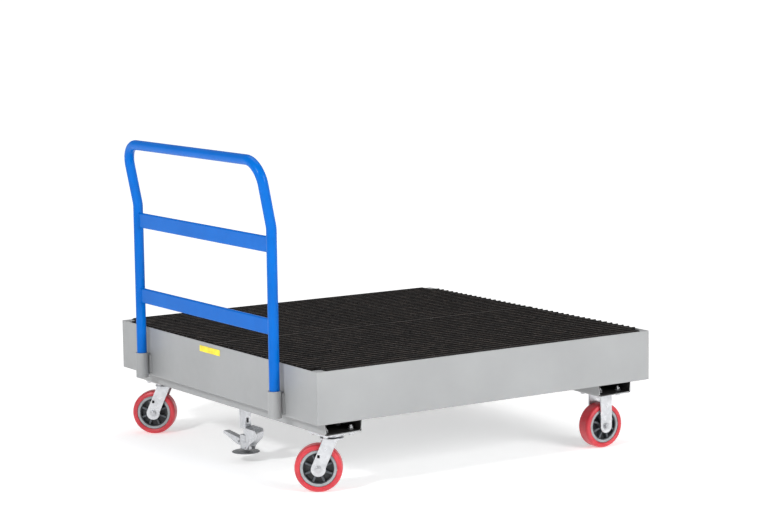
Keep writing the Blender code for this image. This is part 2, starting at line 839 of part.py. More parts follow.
def make_lock_plunger(lock):
    """Stem, crosshead, pad and sole move together, down onto the floor."""
    collar_top = 0.1780
    plunger = turned(
        "lock_plunger",
        [
            (0, collar_top),
            (0.0088, collar_top),
            (0.0088, 0.1720),
            (STEM_RADIUS, 0.1720),
            (STEM_RADIUS, PAD_TOP + GAP),
            (0, PAD_TOP + GAP),
        ],
        16,
    )
    as_part(plunger, ZINC, lock)
    join(
        plunger,
        box("lock_crosshead", (-0.0110, -0.0150, 0.0415), (0.0110, 0.0186, 0.0890)),
        box("lock_pedal_ear", (-0.0040, -0.0278, 0.0435), (0.0060, -0.0080, 0.0565)),
        box("lock_release_ear", (-0.0040, 0.0180, 0.0550), (0.0060, 0.0370, 0.0690)),
    )
    for name, (y, z) in (("pedal", PEDAL_PIN), ("release", RELEASE_PIN)):
        cut(plunger, pin_bar(f"lock_{name}_ear_hole", y, z, LOCK_PIN_RADIUS + 0.0004))
    pad = turned(
        "lock_pad",
        [
            (0, PAD_TOP),
            (0.0180, PAD_TOP),
            (0.0420, PAD_TOP - 0.0020),
            (PAD_RADIUS, PAD_TOP - 0.0034),
            (PAD_RADIUS, PAD_TOP - 0.0054),
            (0.0440, PAD_TOP - 0.0054),
            (0.0400, PAD_TOP - 0.0036),
            (0, PAD_TOP - 0.0036),
        ],
    )
    as_part(pad, ZINC, lock)
    sole = turned(
        "lock_sole",
        [
            (0, PAD_TOP - 0.0036 - GAP),
            (0.0390, PAD_TOP - 0.0036 - GAP),
            (0.0410, SOLE_BOTTOM),
            (0, SOLE_BOTTOM),
        ],
    )
    as_part(sole, RUBBER, lock)


def pin_bar(name, y, z, radius, half_length=0.022):
    return cylinder(name, radius, (-half_length, y, z), (half_length, y, z), "X", 12)


def make_lock_spring(lock):
    """Return spring around the stem, between the guide's floor and the stem's collar."""
    turns, per_turn = 5, 7
    low, high = HOUSING_BOTTOM + 0.0055, 0.1705
    count = turns * per_turn
    path = []
    for i in range(count + 1):
        angle = 2 * math.pi * i / per_turn
        height = low + (high - low) * i / count
        path.append((0.0076 * math.cos(angle), 0.0076 * math.sin(angle), height))
    as_part(tube("lock_spring", path, 0.0009, 6), ZINC, lock)


def lean_tread(obj):
    """Slope the tread down towards the operator."""
    bm = bmesh.new()
    bm.from_mesh(obj.data)
    for vertex in bm.verts:
        share = min(max((vertex.co.y - 0.060) / 0.05, 0.0), 1.0)
        vertex.co.y += TREAD_TILT * share * vertex.co.z
    bm.to_mesh(obj.data)
    bm.free()
    return obj


def make_lock_pedal(lock):
    """Hooked pedal: a pressed box with a flat tread, a curved skirt and two cheeks to the pivot."""
    top = 0.1195
    y, z = PEDAL_PIN
    outer = [
        ((-0.0240, top), 0),
        ((-0.0945, top), 0.011),
        ((-0.0915, 0.0910), 0.018),
        ((-0.0490, 0.0640), 0.020),
        ((y - 0.0075, z - 0.0075), 0.006),
        ((y + 0.0065, z - 0.0075), 0.006),
        ((y + 0.0065, z + 0.0085), 0.006),
        ((-0.0240, 0.0700), 0.006),
    ]
    inner = [
        (0.0100, top - PEDAL_SHEET),
        (-0.0880, top - PEDAL_SHEET),
        (-0.0905, 0.1100),
        (-0.0860, 0.0925),
        (-0.0480, 0.0690),
        (-0.0400, 0.0500),
        (-0.0400, 0.0300),
        (0.0100, 0.0300),
    ]
    pedal = lean_tread(plate("lock_pedal", rounded(outer, 4), PEDAL_WIDTH, "YZ"))
    as_part(pedal, ZINC, lock)
    hollow_width = PEDAL_WIDTH - 2 * PEDAL_SHEET
    cut(
        pedal,
        lean_tread(plate("lock_pedal_hollow", inner, hollow_width, "YZ")),
        pin_bar("lock_pedal_hole", y, z, LOCK_PIN_RADIUS + 0.0004),
    )
    as_part(pin_bar("lock_pedal_pin", y, z, LOCK_PIN_RADIUS, 0.0160), ZINC, lock)


def make_lock_release(lock):
    """Release lever: a tapered channel, open below, that straddles its ear."""
    outline = rounded(
        [
            ((0.0220, 0.0510), 0.004),
            ((0.0220, 0.0740), 0.004),
            ((0.1310, 0.0830), 0.003),
            ((0.1340, 0.0750), 0.003),
            ((0.0400, 0.0510), 0),
        ],
        3,
    )
    hollow = [(0.0100, 0.0400), (0.0100, 0.0712), (0.1270, 0.0802), (0.1270, 0.0400)]
    middle = 0.001
    lever = plate("lock_release_lever", outline, 0.0220, "YZ", (middle, 0, 0))
    as_part(lever, ZINC, lock)
    y, z = RELEASE_PIN
    cut(
        lever,
        plate("lock_release_hollow", hollow, 0.0170, "YZ", (middle, 0, 0)),
        pin_bar("lock_release_hole", y, z, LOCK_PIN_RADIUS + 0.0004),
    )
    as_part(pin_bar("lock_release_pin", y, z, LOCK_PIN_RADIUS, 0.0145), ZINC, lock)


def make_floor_lock():
    lock = empty("floor_lock_axis", (LOCK_X, LOCK_Y, 0))
    make_lock_housing(lock)
    make_lock_spring(lock)
    make_lock_plunger(lock)
    make_lock_pedal(lock)
    make_lock_release(lock)


def main():
    make_tank()
    make_corner_plates()
    make_ledges()
    make_support_beams()
    make_grating_panel("grating_panel_right", -1)
    make_grating_panel("grating_panel_left", 1)
    make_bolsters()
    for side, sign in (("right", -1), ("left", 1)):
        make_swivel_caster(side)
        make_rigid_caster(side, sign)
    make_handle()
    make_sockets()
    make_label()
    make_floor_lock()


main()
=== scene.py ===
"""Looks for the drum dolly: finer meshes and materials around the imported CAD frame, and the studio.

Metres, +Z up. +X runs from the push handle to the far end, and +Y is the operator's left.
"""

import json
import math

import bmesh
import bpy
from mathutils import Matrix, Vector


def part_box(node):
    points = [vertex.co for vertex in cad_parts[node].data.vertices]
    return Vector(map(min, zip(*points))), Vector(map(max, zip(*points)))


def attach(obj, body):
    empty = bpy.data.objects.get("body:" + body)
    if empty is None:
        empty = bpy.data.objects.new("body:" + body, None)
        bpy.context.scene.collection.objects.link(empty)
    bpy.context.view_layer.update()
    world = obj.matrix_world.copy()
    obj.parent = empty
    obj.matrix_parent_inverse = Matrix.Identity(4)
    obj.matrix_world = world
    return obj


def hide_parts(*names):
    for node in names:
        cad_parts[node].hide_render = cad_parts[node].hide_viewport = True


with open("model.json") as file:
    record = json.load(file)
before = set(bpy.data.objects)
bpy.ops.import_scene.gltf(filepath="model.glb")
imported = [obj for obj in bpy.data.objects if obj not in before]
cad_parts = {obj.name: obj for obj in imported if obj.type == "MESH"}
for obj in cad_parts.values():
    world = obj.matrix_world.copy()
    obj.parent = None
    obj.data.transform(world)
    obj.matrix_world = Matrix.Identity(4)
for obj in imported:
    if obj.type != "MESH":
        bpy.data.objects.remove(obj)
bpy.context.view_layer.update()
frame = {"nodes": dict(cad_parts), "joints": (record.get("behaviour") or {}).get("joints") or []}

JOINTS = {joint["name"]: joint for joint in frame["joints"]}
INCH = 0.0254

# Tank and grating
SHEET = 0.0034
PAN_EDGE = 0.0040
BAR_THICKNESS = 0.0048
BAR_PITCH = 1.1875 * INCH
BARS_PER_PANEL = 22
ROD_SIZE = 0.0062
ROD_PITCH = 4 * INCH
RODS_PER_PANEL = 13
ROD_TWIST_PITCH = 0.056
ROD_STEP = 0.007
CORNER_NOTCH = 0.0384
BOLSTER_WALL = 0.0045

# Handle
TUBE_RADIUS = 0.6575 * INCH
TUBE_WALL = 0.0024
BEND_HEIGHT = 0.818
BEND_RADIUS = 0.10
CORNER_RADIUS = 3 * INCH

# Casters
FORK_INSIDE = 0.0290
FORK_SHEET = 0.0050
FORK_OUTSIDE = FORK_INSIDE + FORK_SHEET
FORK_END_RADIUS = 0.0230
SWIVEL_LEG_TOP = (-0.020, 0.026)
CROWN_RADIUS = 0.038
WHEEL_RADIUS = 2.95 * INCH
SPOKES = 8
AXLE_RADIUS = 0.0063
GAP = 0.0003

# Floor lock pedal
TREAD_TILT = 0.28
PEDAL_WIDTH = 0.029
PEDAL_SHEET = 0.0025

# Camera: a long lens, looking down a little at the near corner of the handle end
SENSOR = 36.0
FOCAL_WIDTHS = 3.0347
CAMERA_FROM_DECK = Vector((-4.2548, -6.5801, 1.6415))
CAMERA_YAW = math.radians(33.70)
CAMERA_PITCH = math.radians(-7.27)
CAMERA_ROLL = math.radians(-0.68)
CAMERA_SHIFT = (-0.0358, -0.0046)
CLIP_END = 200

# Studio: name, watts, place, target and size of each soft light
LIGHTS = (
    ("key", 140, (-4.8, -1.8, 3.0), (-0.6, 0, 0.4), (0.5, 0.5)),
    ("side", 162, (1.4, -5.0, 2.6), (0, 0, 0.35), (2.4, 1.8)),
    ("top", 60, (0.3, 0.6, 4.6), (0, 0, 0.35), (3.0, 3.0)),
)
FLOOR_HALF = 300.0
GLOW_REACH = (1.0, 6.0)
GLOW_STRENGTH = (0.42, 0.80)
SKY_RISE = (0.02, 0.20)
SKY_STRENGTH = (1.0, 0.28)


# ---------------------------------------------------------------- mesh helpers


def middle(node):
    low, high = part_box(node)
    return (low + high) / 2


def joint_place(name):
    return Vector(JOINTS[name]["pos_m"])


def rounded(points, steps=6, cyclic=True):
    """Replace each (point, radius) corner by an arc; works for outlines, profiles and tube paths."""
    corners = [(Vector(point), radius) for point, radius in points]
    count = len(corners)
    path = []
    for i, (corner, radius) in enumerate(corners):
        is_end = not cyclic and i in (0, count - 1)
        if radius == 0 or is_end:
            path.append(corner)
            continue
        back = (corners[i - 1][0] - corner).normalized()
        ahead = (corners[(i + 1) % count][0] - corner).normalized()
        half = back.angle(ahead) / 2
        centre = corner + (back + ahead).normalized() * radius / math.sin(half)
        start = corner + back * radius / math.tan(half) - centre
        end = corner + ahead * radius / math.tan(half) - centre
        sweep = math.pi - 2 * half
        for k in range(steps + 1):
            t = k / steps
            arm = (start * math.sin((1 - t) * sweep) + end * math.sin(t * sweep)) / math.sin(sweep)
            path.append(centre + arm)
    return path


def mesh_object(name, build, place=None):
    mesh = bpy.data.meshes.new(name)
    bm = bmesh.new()
    build(bm)
    bmesh.ops.recalc_face_normals(bm, faces=bm.faces)
    if place is not None:
        bmesh.ops.transform(bm, matrix=place, verts=bm.verts)
    bm.to_mesh(mesh)
    bm.free()
    obj = bpy.data.objects.new(name, mesh)
    bpy.context.scene.collection.objects.link(obj)
    return obj


def block(name, low, high, edge=0.0006, segments=2):
    """A box between two corners with rounded edges."""
    low = Vector(low)
    high = Vector(high)

    def build(bm):
        bmesh.ops.create_cube(bm, size=1.0)
        bmesh.ops.scale(bm, vec=high - low, verts=bm.verts)
        bmesh.ops.translate(bm, vec=(low + high) / 2, verts=bm.verts)
        if edge:
            bmesh.ops.bevel(
                bm, geom=bm.edges[:], offset=edge, segments=segments, profile=0.5, affect="EDGES"
            )

    return mesh_object(name, build)


PLANES = {
    "XY": Matrix.Identity(4),
    "XZ": Matrix.Rotation(math.pi / 2, 4, "X"),
    "YZ": Matrix.Rotation(math.pi / 2, 4, "Z") @ Matrix.Rotation(math.pi / 2, 4, "X"),
}


def plate(name, outline, thickness, plane, centre=(0, 0, 0), edge=0.0005, segments=2):
    """A flat outline in the named plane, thickened either side of it, with rounded edges."""
    half = thickness / 2

    def build(bm):
        low = [bm.verts.new((point[0], point[1], -half)) for point in outline]
        high = [bm.verts.new((point[0], point[1], half)) for point in outline]
        faces = [bm.faces.new(low), bm.faces.new(high)]
        rims = list(faces[0].edges) + list(faces[1].edges)
        for i in range(len(outline)):
            bm.faces.new((low[i - 1], low[i], high[i], high[i - 1]))
        if edge:
            bmesh.ops.bevel(
                bm, geom=rims, offset=edge, segments=segments, profile=0.5, affect="EDGES"
            )
        bmesh.ops.triangulate(bm, faces=[face for face in bm.faces if len(face.verts) > 4])

    return mesh_object(name, build, Matrix.Translation(centre) @ PLANES[plane])


def lathe(name, profile, steps=96, axis="Z", centre=(0, 0, 0)):
    """Turn a closed profile of (radius, height) points about an axis through the centre."""
    turns = {
        "Z": Matrix.Identity(4),
        "Y": Matrix.Rotation(math.pi / 2, 4, "X"),
        "X": Matrix.Rotation(math.pi / 2, 4, "Y"),
    }

    def build(bm):
        rings = []
        for radius, height in profile:
            if radius < 1e-6:
                rings.append([bm.verts.new((0, 0, height))])
                continue
            angles = [2 * math.pi * i / steps for i in range(steps)]
            rings.append(
                [bm.verts.new((radius * math.cos(a), radius * math.sin(a), height)) for a in angles]
            )
        for i, ring in enumerate(rings):
            before = rings[i - 1]
            if len(ring) == 1 and len(before) == 1:
                continue
            for k in range(steps):
                corners = [ring[k % len(ring)], ring[(k + 1) % len(ring)]]
                corners += [before[(k + 1) % len(before)], before[k % len(before)]]
                bm.faces.new(list(dict.fromkeys(corners)))

    return mesh_object(name, build, Matrix.Translation(centre) @ turns[axis])


def soft_profile(points, radius=0.0006, steps=3):
    """A turned profile whose corners, other than those on the axis, are slightly rounded."""
    shaped = []
    for entry in points:
        r, z = entry[0], entry[1]
        corner = entry[2] if len(entry) > 2 else radius
        shaped.append(((r, z), 0 if r < 1e-6 else corner))
    return [(point.x, point.y) for point in rounded(shaped, steps)]


def sweep(name, path, radius, sides=32, inner=None):
    """A round tube along a path; with an inner radius it is hollow and open at both ends."""

    def build(bm):
        rings = []
        side = None
        for i, point in enumerate(path):
            ahead = path[min(i + 1, len(path) - 1)] - path[max(i - 1, 0)]
            ahead = ahead.normalized()
            if side is None:
                side = ahead.orthogonal().normalized()
            side = (side - ahead * side.dot(ahead)).normalized()
            up = ahead.cross(side)
            rings.append((point, side.copy(), up))
        radii = [radius] if inner is None else [radius, inner]
        loops = []
        for r in radii:
            shell = []
            for point, side, up in rings:
                angles = [2 * math.pi * k / sides for k in range(sides)]
                shell.append(
                    [bm.verts.new(point + r * (side * math.cos(a) + up * math.sin(a))) for a in angles]
                )
            loops.append(shell)
        for shell in loops:
            for a, b in zip(shell, shell[1:]):
                for k in range(sides):
                    n = (k + 1) % sides
                    bm.faces.new((a[k], a[n], b[n], b[k]))
        for end in (0, -1):
            if inner is None:
                bm.faces.new(loops[0][end])
                continue
            for k in range(sides):
                n = (k + 1) % sides
                outer, bore = loops[0][end], loops[1][end]
                bm.faces.new((outer[k], outer[n], bore[n], bore[k]))

    return mesh_object(name, build)


def hexagon(name, across, low, high, axis="Z", centre=(0, 0, 0), turn=0.0):
    """A bolt head or nut: a hexagonal prism whose corners are chamfered."""
    corner = across / math.sqrt(3)
    turns = {
        "Z": Matrix.Identity(4),
        "Y": Matrix.Rotation(math.pi / 2, 4, "X"),
        "X": Matrix.Rotation(math.pi / 2, 4, "Y"),
    }

    def build(bm):
        bmesh.ops.create_cone(
            bm, cap_ends=True, segments=6, radius1=corner, radius2=corner, depth=high - low
        )
        bmesh.ops.translate(bm, vec=(0, 0, (low + high) / 2), verts=bm.verts)
        rims = [e for e in bm.edges if abs(e.verts[0].co.z - e.verts[1].co.z) < 1e-6]
        bmesh.ops.bevel(bm, geom=rims, offset=0.0009, segments=2, profile=0.5, affect="EDGES")

    spin = Matrix.Rotation(turn, 4, "Z")
    return mesh_object(name, build, Matrix.Translation(centre) @ turns[axis] @ spin)


def combine(name, *objs):
    """Join several loose shapes into one piece without merging their surfaces."""
    bm = bmesh.new()
    for obj in objs:
        bm.from_mesh(obj.data)
    mesh = bpy.data.meshes.new(name)
    bm.to_mesh(mesh)
    bm.free()
    for obj in objs:
        bpy.data.objects.remove(obj)
    joined = bpy.data.objects.new(name, mesh)
    bpy.context.scene.collection.objects.link(joined)
    return joined


def carve(obj, tools, operation="DIFFERENCE"):
    """Apply exact Booleans, then remove the tools."""
    for tool in tools:
        modifier = obj.modifiers.new("cut", "BOOLEAN")
        modifier.operation = operation
        modifier.solver = "EXACT"
        modifier.object = tool
    settle(obj)
    for tool in tools:
        bpy.data.objects.remove(tool)
    return obj


def settle(obj):
    """Apply an object's modifiers to its mesh."""
    graph = bpy.context.evaluated_depsgraph_get()
    mesh = bpy.data.meshes.new_from_object(obj.evaluated_get(graph))
    obj.modifiers.clear()
    obj.data = mesh
    return obj


def soften(obj, width, segments=2, angle=35):
    """Round the sharp edges left by Booleans."""
    bevel = obj.modifiers.new("soften", "BEVEL")
    bevel.width = width
    bevel.segments = segments
    bevel.limit_method = "ANGLE"
    bevel.angle_limit = math.radians(angle)
    bevel.use_clamp_overlap = True
    return settle(obj)


def show(obj, body, material, replaced=(), place=None, crease=40):
    """Shade a finished mesh, give it its material and let it ride on its body."""
    if place is not None:
        obj.data.transform(place)
    obj.data.materials.clear()
    obj.data.materials.append(material)
    obj.data.shade_smooth()
    obj.data.set_sharp_from_angle(angle=math.radians(crease))
    weighted = obj.modifiers.new("weighted", "WEIGHTED_NORMAL")
    weighted.keep_sharp = True
    weighted.weight = 80
    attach(obj, body)
    if replaced:
        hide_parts(*replaced)
    return obj


# ---------------------------------------------------------------- materials


def new_material(name, colour, roughness, metallic=0.0, **constants):
    material = bpy.data.materials.new(name)
    material.use_nodes = True
    shader = material.node_tree.nodes["Principled BSDF"]
    shader.inputs["Base Color"].default_value = (*colour, 1.0)
    shader.inputs["Roughness"].default_value = roughness
    shader.inputs["Metallic"].default_value = metallic
    for key, value in constants.items():
        shader.inputs[key.replace("_", " ")].default_value = value
    return material


def add_node(material, kind, **settings):
    node = material.node_tree.nodes.new(kind)
    for key, value in settings.items():
        setattr(node, key, value)
    return node


def wire(material, output, socket):
    material.node_tree.links.new(output, socket)


def noise(material, scale, detail=3.0, rough=0.55, stretch=(1, 1, 1)):
    """Noise in the object's own coordinates, stretched along chosen axes."""
    place = add_node(material, "ShaderNodeTexCoord")
    mapping = add_node(material, "ShaderNodeMapping")
    mapping.inputs["Scale"].default_value = stretch
    wire(material, place.outputs["Object"], mapping.inputs["Vector"])
    texture = add_node(material, "ShaderNodeTexNoise")
    texture.inputs["Scale"].default_value = scale
    texture.inputs["Detail"].default_value = detail
    texture.inputs["Roughness"].default_value = rough
    wire(material, mapping.outputs["Vector"], texture.inputs["Vector"])
    return texture.outputs["Fac"]


def remap(material, value, low, high, start, end):
    """Map a value from low..high to start..end, clamped."""
    node = add_node(material, "ShaderNodeMapRange", clamp=True)
    for socket, number in (("From Min", low), ("From Max", high), ("To Min", start), ("To Max", end)):
        node.inputs[socket].default_value = number
    wire(material, value, node.inputs["Value"])
    return node.outputs["Result"]


def blend_colour(material, factor, first, second):
    """Mix two colours; each is either three numbers or another node's output."""
    node = add_node(material, "ShaderNodeMix", data_type="RGBA")
    wire(material, factor, node.inputs["Factor"])
    for name, colour in (("A", first), ("B", second)):
        socket = next(s for s in node.inputs if s.name == name and s.type == "RGBA")
        if isinstance(colour, tuple):
            socket.default_value = (*colour, 1.0)
        else:
            wire(material, colour, socket)
    return next(s for s in node.outputs if s.type == "RGBA")


def times(material, first, second):
    node = add_node(material, "ShaderNodeMath", operation="MULTIPLY")
    wire(material, first, node.inputs[0])
    wire(material, second, node.inputs[1])
    return node.outputs[0]


def facing_up(material, low=0.75, high=0.95):
    """One where the surface faces up, zero on its sides."""
    geometry = add_node(material, "ShaderNodeNewGeometry")
    split = add_node(material, "ShaderNodeSeparateXYZ")
    wire(material, geometry.outputs["True Normal"], split.inputs[0])
    return remap(material, split.outputs["Z"], low, high, 0.0, 1.0)


def bump(material, *layers):
    """Stack bump layers, each a (height, distance in metres, strength)."""
    normal = None
    for height, distance, strength in layers:
        node = add_node(material, "ShaderNodeBump")
        node.inputs["Strength"].default_value = strength
        node.inputs["Distance"].default_value = distance
        wire(material, height, node.inputs["Height"])
        if normal is not None:
            wire(material, normal, node.inputs["Normal"])
        normal = node.outputs["Normal"]
    wire(material, normal, material.node_tree.nodes["Principled BSDF"].inputs["Normal"])


def paint(material, colour=None, roughness=None, metallic=None):
    shader = material.node_tree.nodes["Principled BSDF"]
    for socket, output in (("Base Color", colour), ("Roughness", roughness), ("Metallic", metallic)):
        if output is not None:
            wire(material, output, shader.inputs[socket])


def enamel_grey(name="enamel_grey", tint=(0.315, 0.322, 0.326)):
    """Grey enamel on rolled sheet: soft mottling, faint handling scuffs and orange peel."""
    material = new_material(name, tint, 0.42, Coat_Weight=0.15, Coat_Roughness=0.30)
    light = tuple(c * 1.05 for c in tint)
    dark = tuple(c * 0.94 for c in tint)
    cloud = remap(material, noise(material, 3.2, 4.0), 0.35, 0.65, 0.0, 1.0)
    base = blend_colour(material, cloud, dark, light)
    scuff = remap(material, noise(material, 26, 6.0, 0.7, (1, 1, 5)), 0.66, 0.78, 0.0, 0.45)
    scuffed = blend_colour(material, scuff, base, tuple(c * 0.80 for c in tint))
    speck = remap(material, noise(material, 420, 2.0), 0.70, 0.80, 0.0, 0.35)
    colour = blend_colour(material, speck, scuffed, tuple(c * 0.7 for c in tint))
    paint(material, colour, remap(material, noise(material, 40, 4.0), 0.3, 0.7, 0.36, 0.50))
    bump(
        material,
        (noise(material, 2.4, 1.0), 0.004, 0.10),
        (noise(material, 520, 2.0), 0.0004, 0.12),
    )
    return material


def enamel_dark():
    """Black enamel of the grating; the bars' upward-facing tops are painted a warm grey in patches, a
    painted highlight mixed with wear.
    """
    material = new_material("enamel_dark", (0.010, 0.009, 0.009), 0.50, Specular_IOR_Level=0.25)
    # Painted highlight: faces that look up towards the overhead light turn warm grey in patches, mixed with
    # wear.
    top = facing_up(material)
    patches = remap(material, noise(material, 34, 5.0, 0.65, (1, 2, 1)), 0.46, 0.62, 0.03, 1.0)
    fine = remap(material, noise(material, 260, 3.0), 0.3, 0.7, 0.6, 1.0)
    highlight_and_wear = times(material, times(material, top, patches), fine)
    speck = remap(material, noise(material, 150, 3.0), 0.35, 0.65, 0.0, 1.0)
    black = blend_colour(material, speck, (0.006, 0.005, 0.005), (0.014, 0.012, 0.011))
    colour = blend_colour(material, highlight_and_wear, black, (0.150, 0.116, 0.096))
    paint(material, colour, remap(material, noise(material, 90, 3.0), 0.3, 0.7, 0.34, 0.55))
    bump(material, (noise(material, 600, 3.0), 0.0004, 0.20))
    return material


def enamel_blue():
    """Glossy blue enamel with a fine orange peel and slight depth changes."""
    material = new_material(
        "enamel_blue",
        (0.0, 0.125, 0.520),
        0.32,
        Coat_Weight=0.08,
        Coat_Roughness=0.06,
        Specular_IOR_Level=0.07,
    )
    cloud = remap(material, noise(material, 9, 3.0), 0.35, 0.65, 0.0, 1.0)
    base = blend_colour(material, cloud, (0.0, 0.120, 0.500), (0.0, 0.134, 0.545))
    scuff = remap(material, noise(material, 70, 6.0, 0.7, (1, 1, 3)), 0.70, 0.80, 0.0, 0.35)
    colour = blend_colour(material, scuff, base, (0.001, 0.075, 0.380))
    paint(material, colour, remap(material, noise(material, 55, 3.0), 0.3, 0.7, 0.28, 0.34))
    bump(
        material,
        (noise(material, 30, 2.0), 0.0004, 0.04),
        (noise(material, 700, 2.0), 0.0002, 0.06),
    )
    return material


def zinc_plate(name="zinc_plate", stretch=(1, 1, 1), tone=1.0):
    """Bright zinc on stamped steel: cloudy, faintly streaked, a little duller in patches."""
    base = tuple(c * tone for c in (0.66, 0.67, 0.69))
    material = new_material(name, base, 0.30, 0.9)
    cloud = remap(material, noise(material, 38, 5.0, 0.6), 0.32, 0.68, 0.0, 1.0)
    dull = tuple(c * tone for c in (0.50, 0.51, 0.53))
    first = blend_colour(material, cloud, dull, base)
    stain = remap(material, noise(material, 85, 6.0, 0.7), 0.62, 0.75, 0.0, 0.5)
    colour = blend_colour(material, stain, first, tuple(c * tone for c in (0.36, 0.35, 0.34)))
    paint(
        material,
        colour,
        remap(material, noise(material, 60, 5.0, 0.6, stretch), 0.3, 0.7, 0.22, 0.46),
    )
    bump(
        material,
        (noise(material, 28, 2.0), 0.0012, 0.12),
        (noise(material, 480, 4.0, 0.6, stretch), 0.0003, 0.15),
    )
    return material


def red_urethane():
    """Cast polyurethane tread: slightly translucent, satin, with rolling marks."""
    material = new_material(
        "red_urethane",
        (0.56, 0.026, 0.042),
        0.36,
        Subsurface_Weight=0.35,
        Subsurface_Scale=0.006,
        Coat_Weight=0.20,
        Coat_Roughness=0.25,
    )
    material.node_tree.nodes["Principled BSDF"].inputs["Subsurface Radius"].default_value = (
        1.0,
        0.25,
        0.2,
    )
    cloud = remap(material, noise(material, 24, 4.0), 0.35, 0.65, 0.0, 1.0)
    base = blend_colour(material, cloud, (0.50, 0.020, 0.036), (0.61, 0.036, 0.052))
    dust = remap(material, noise(material, 140, 6.0, 0.7), 0.60, 0.76, 0.0, 0.30)
    paint(
        material,
        blend_colour(material, dust, base, (0.50, 0.20, 0.19)),
        remap(material, noise(material, 70, 4.0), 0.3, 0.7, 0.30, 0.46),
    )
    bump(material, (noise(material, 330, 3.0), 0.0004, 0.15))
    return material


def moulded(name, colour, roughness, grain=420):
    """Moulded plastic or rubber with a fine grain."""
    material = new_material(name, colour, roughness)
    cloud = remap(material, noise(material, 45, 4.0), 0.35, 0.65, 0.0, 1.0)
    shaded = blend_colour(
        material, cloud, tuple(c * 0.85 for c in colour), tuple(c * 1.15 for c in colour)
    )
    dust = remap(material, noise(material, 160, 5.0, 0.7), 0.62, 0.75, 0.0, 0.25)
    pale = tuple(min(1.0, c * 1.6 + 0.05) for c in colour)
    paint(
        material,
        blend_colour(material, dust, shaded, pale),
        remap(material, noise(material, 80, 3.0), 0.3, 0.7, roughness - 0.08, roughness + 0.1),
    )
    bump(material, (noise(material, grain, 3.0), 0.0004, 0.2))
    return material


def make_materials():
    kit = {
        "grey": enamel_grey(),
        # Near-black painted shade for the inside of the bolster channels.
        "channel_shade": moulded("painted_shade_black", (0.010, 0.009, 0.009), 0.62),
        "grate": enamel_dark(),
        # The cross rods share the bars' black enamel; their lighter warm grey is a painted highlight that
        # makes them read as lit dots.
        "rod": moulded("rod_painted_highlight", (0.420, 0.360, 0.320), 0.5),
        "blue": enamel_blue(),
        "zinc": zinc_plate(),
        "bolt": zinc_plate("zinc_bolt", tone=0.92),
        "steel": zinc_plate("bare_steel", tone=0.62),
        "red": red_urethane(),
        # Core web and ribs are one plastic: the near-black web is painted shade in the pockets, the lighter
        # ribs a painted highlight.
        "core": moulded("core_web_painted_shade", (0.026, 0.029, 0.034), 0.45),
        "rib": moulded("core_ribs_painted_highlight", (0.075, 0.085, 0.097), 0.42),
        "rim": moulded("core_rim", (0.300, 0.325, 0.340), 0.42),
        "rubber": moulded("sole_rubber", (0.020, 0.020, 0.021), 0.70),
        "label": moulded("label_film", (0.88, 0.72, 0.010), 0.34, 900),
    }
    return kit


KIT = make_materials()


# ---------------------------------------------------------------- tank


def make_pan():
    """The folded pan: floor and walls as one sheet with a bend radius along the bottom."""
    walls = ["tank_wall_handle_end", "tank_wall_far_end", "tank_wall_left", "tank_wall_right"]
    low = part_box("tank_floor")[0]
    floor_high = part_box("tank_floor")[1]
    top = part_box("tank_wall_left")[1].z
    high = Vector((floor_high.x, floor_high.y, top))

    def build(bm):
        bmesh.ops.create_cube(bm, size=1.0)
        bmesh.ops.scale(bm, vec=high - low, verts=bm.verts)
        bmesh.ops.translate(bm, vec=(low + high) / 2, verts=bm.verts)
        lid = [face for face in bm.faces if face.normal.z > 0.9]
        bmesh.ops.delete(bm, geom=lid, context="FACES_ONLY")
        bends = [e for e in bm.edges if max(v.co.z for v in e.verts) < low.z + 1e-5]
        bmesh.ops.bevel(
            bm, geom=bends, offset=PAN_EDGE, segments=5, profile=0.5, affect="EDGES"
        )
        corners = [e for e in bm.edges if abs(e.verts[0].co.z - e.verts[1].co.z) > 0.1]
        bmesh.ops.bevel(bm, geom=corners, offset=0.0022, segments=3, profile=0.5, affect="EDGES")

    pan = mesh_object("tank_pan", build)
    wall = pan.modifiers.new("sheet", "SOLIDIFY")
    wall.thickness = SHEET
    wall.offset = -1
    wall.use_even_offset = True
    settle(pan)
    soften(pan, 0.0007, 2, 60)
    show(pan, "dolly", KIT["grey"], ["tank_floor", *walls])


def make_corner_plates():
    for x_name, x_sign in (("handle", -1), ("far", 1)):
        for y_name, y_sign in (("right", -1), ("left", 1)):
            node = f"corner_plate_{x_name}_{y_name}"
            low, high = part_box(node)
            outer_x = high.x if x_sign > 0 else low.x
            inner_x = low.x if x_sign > 0 else high.x
            outer_y = high.y if y_sign > 0 else low.y
            inner_y = low.y if y_sign > 0 else high.y
            outline = rounded(
                [
                    ((outer_x, outer_y), 0),
                    ((inner_x, outer_y), 0.003),
                    ((inner_x, inner_y), 0.012),
                    ((outer_x, inner_y), 0.003),
                ],
                5,
            )
            thickness = high.z - low.z
            gusset = plate(
                f"corner_gusset_{x_name}_{y_name}",
                outline,
                thickness,
                "XY",
                (0, 0, (low.z + high.z) / 2),
                0.0008,
            )
            show(gusset, "dolly", KIT["grey"], [node])


def make_weld(name, path, radius, body, material=None):
    """A weld bead: a thin tube whose radius ripples along its length."""
    points = []
    for a, b in zip(path, path[1:]):
        count = max(2, int((b - a).length / 0.0022))
        points += [a.lerp(b, i / count) for i in range(count)]
    points.append(path[-1])
    bead = sweep(name, points, radius, 10)
    for i, vertex in enumerate(bead.data.vertices):
        ring = i // 10
        centre = points[min(ring, len(points) - 1)]
        swell = 1.0 + 0.16 * math.sin(ring * 2.1) + 0.06 * math.sin(ring * 5.3)
        vertex.co = centre + (vertex.co - centre) * swell
    return show(bead, body, material or KIT["grey"], crease=80)


def make_inside_steel():
    """Ledges and support beams keep their CAD shape and take the pan's enamel."""
    for node in (
        "grate_ledge_handle_end",
        "grate_ledge_far_end",
        "support_beam_handle_side",
        "support_beam_far_side",
    ):
        obj = frame["nodes"][node]
        obj.data.materials.clear()
        obj.data.materials.append(KIT["grey"])


# ---------------------------------------------------------------- grating


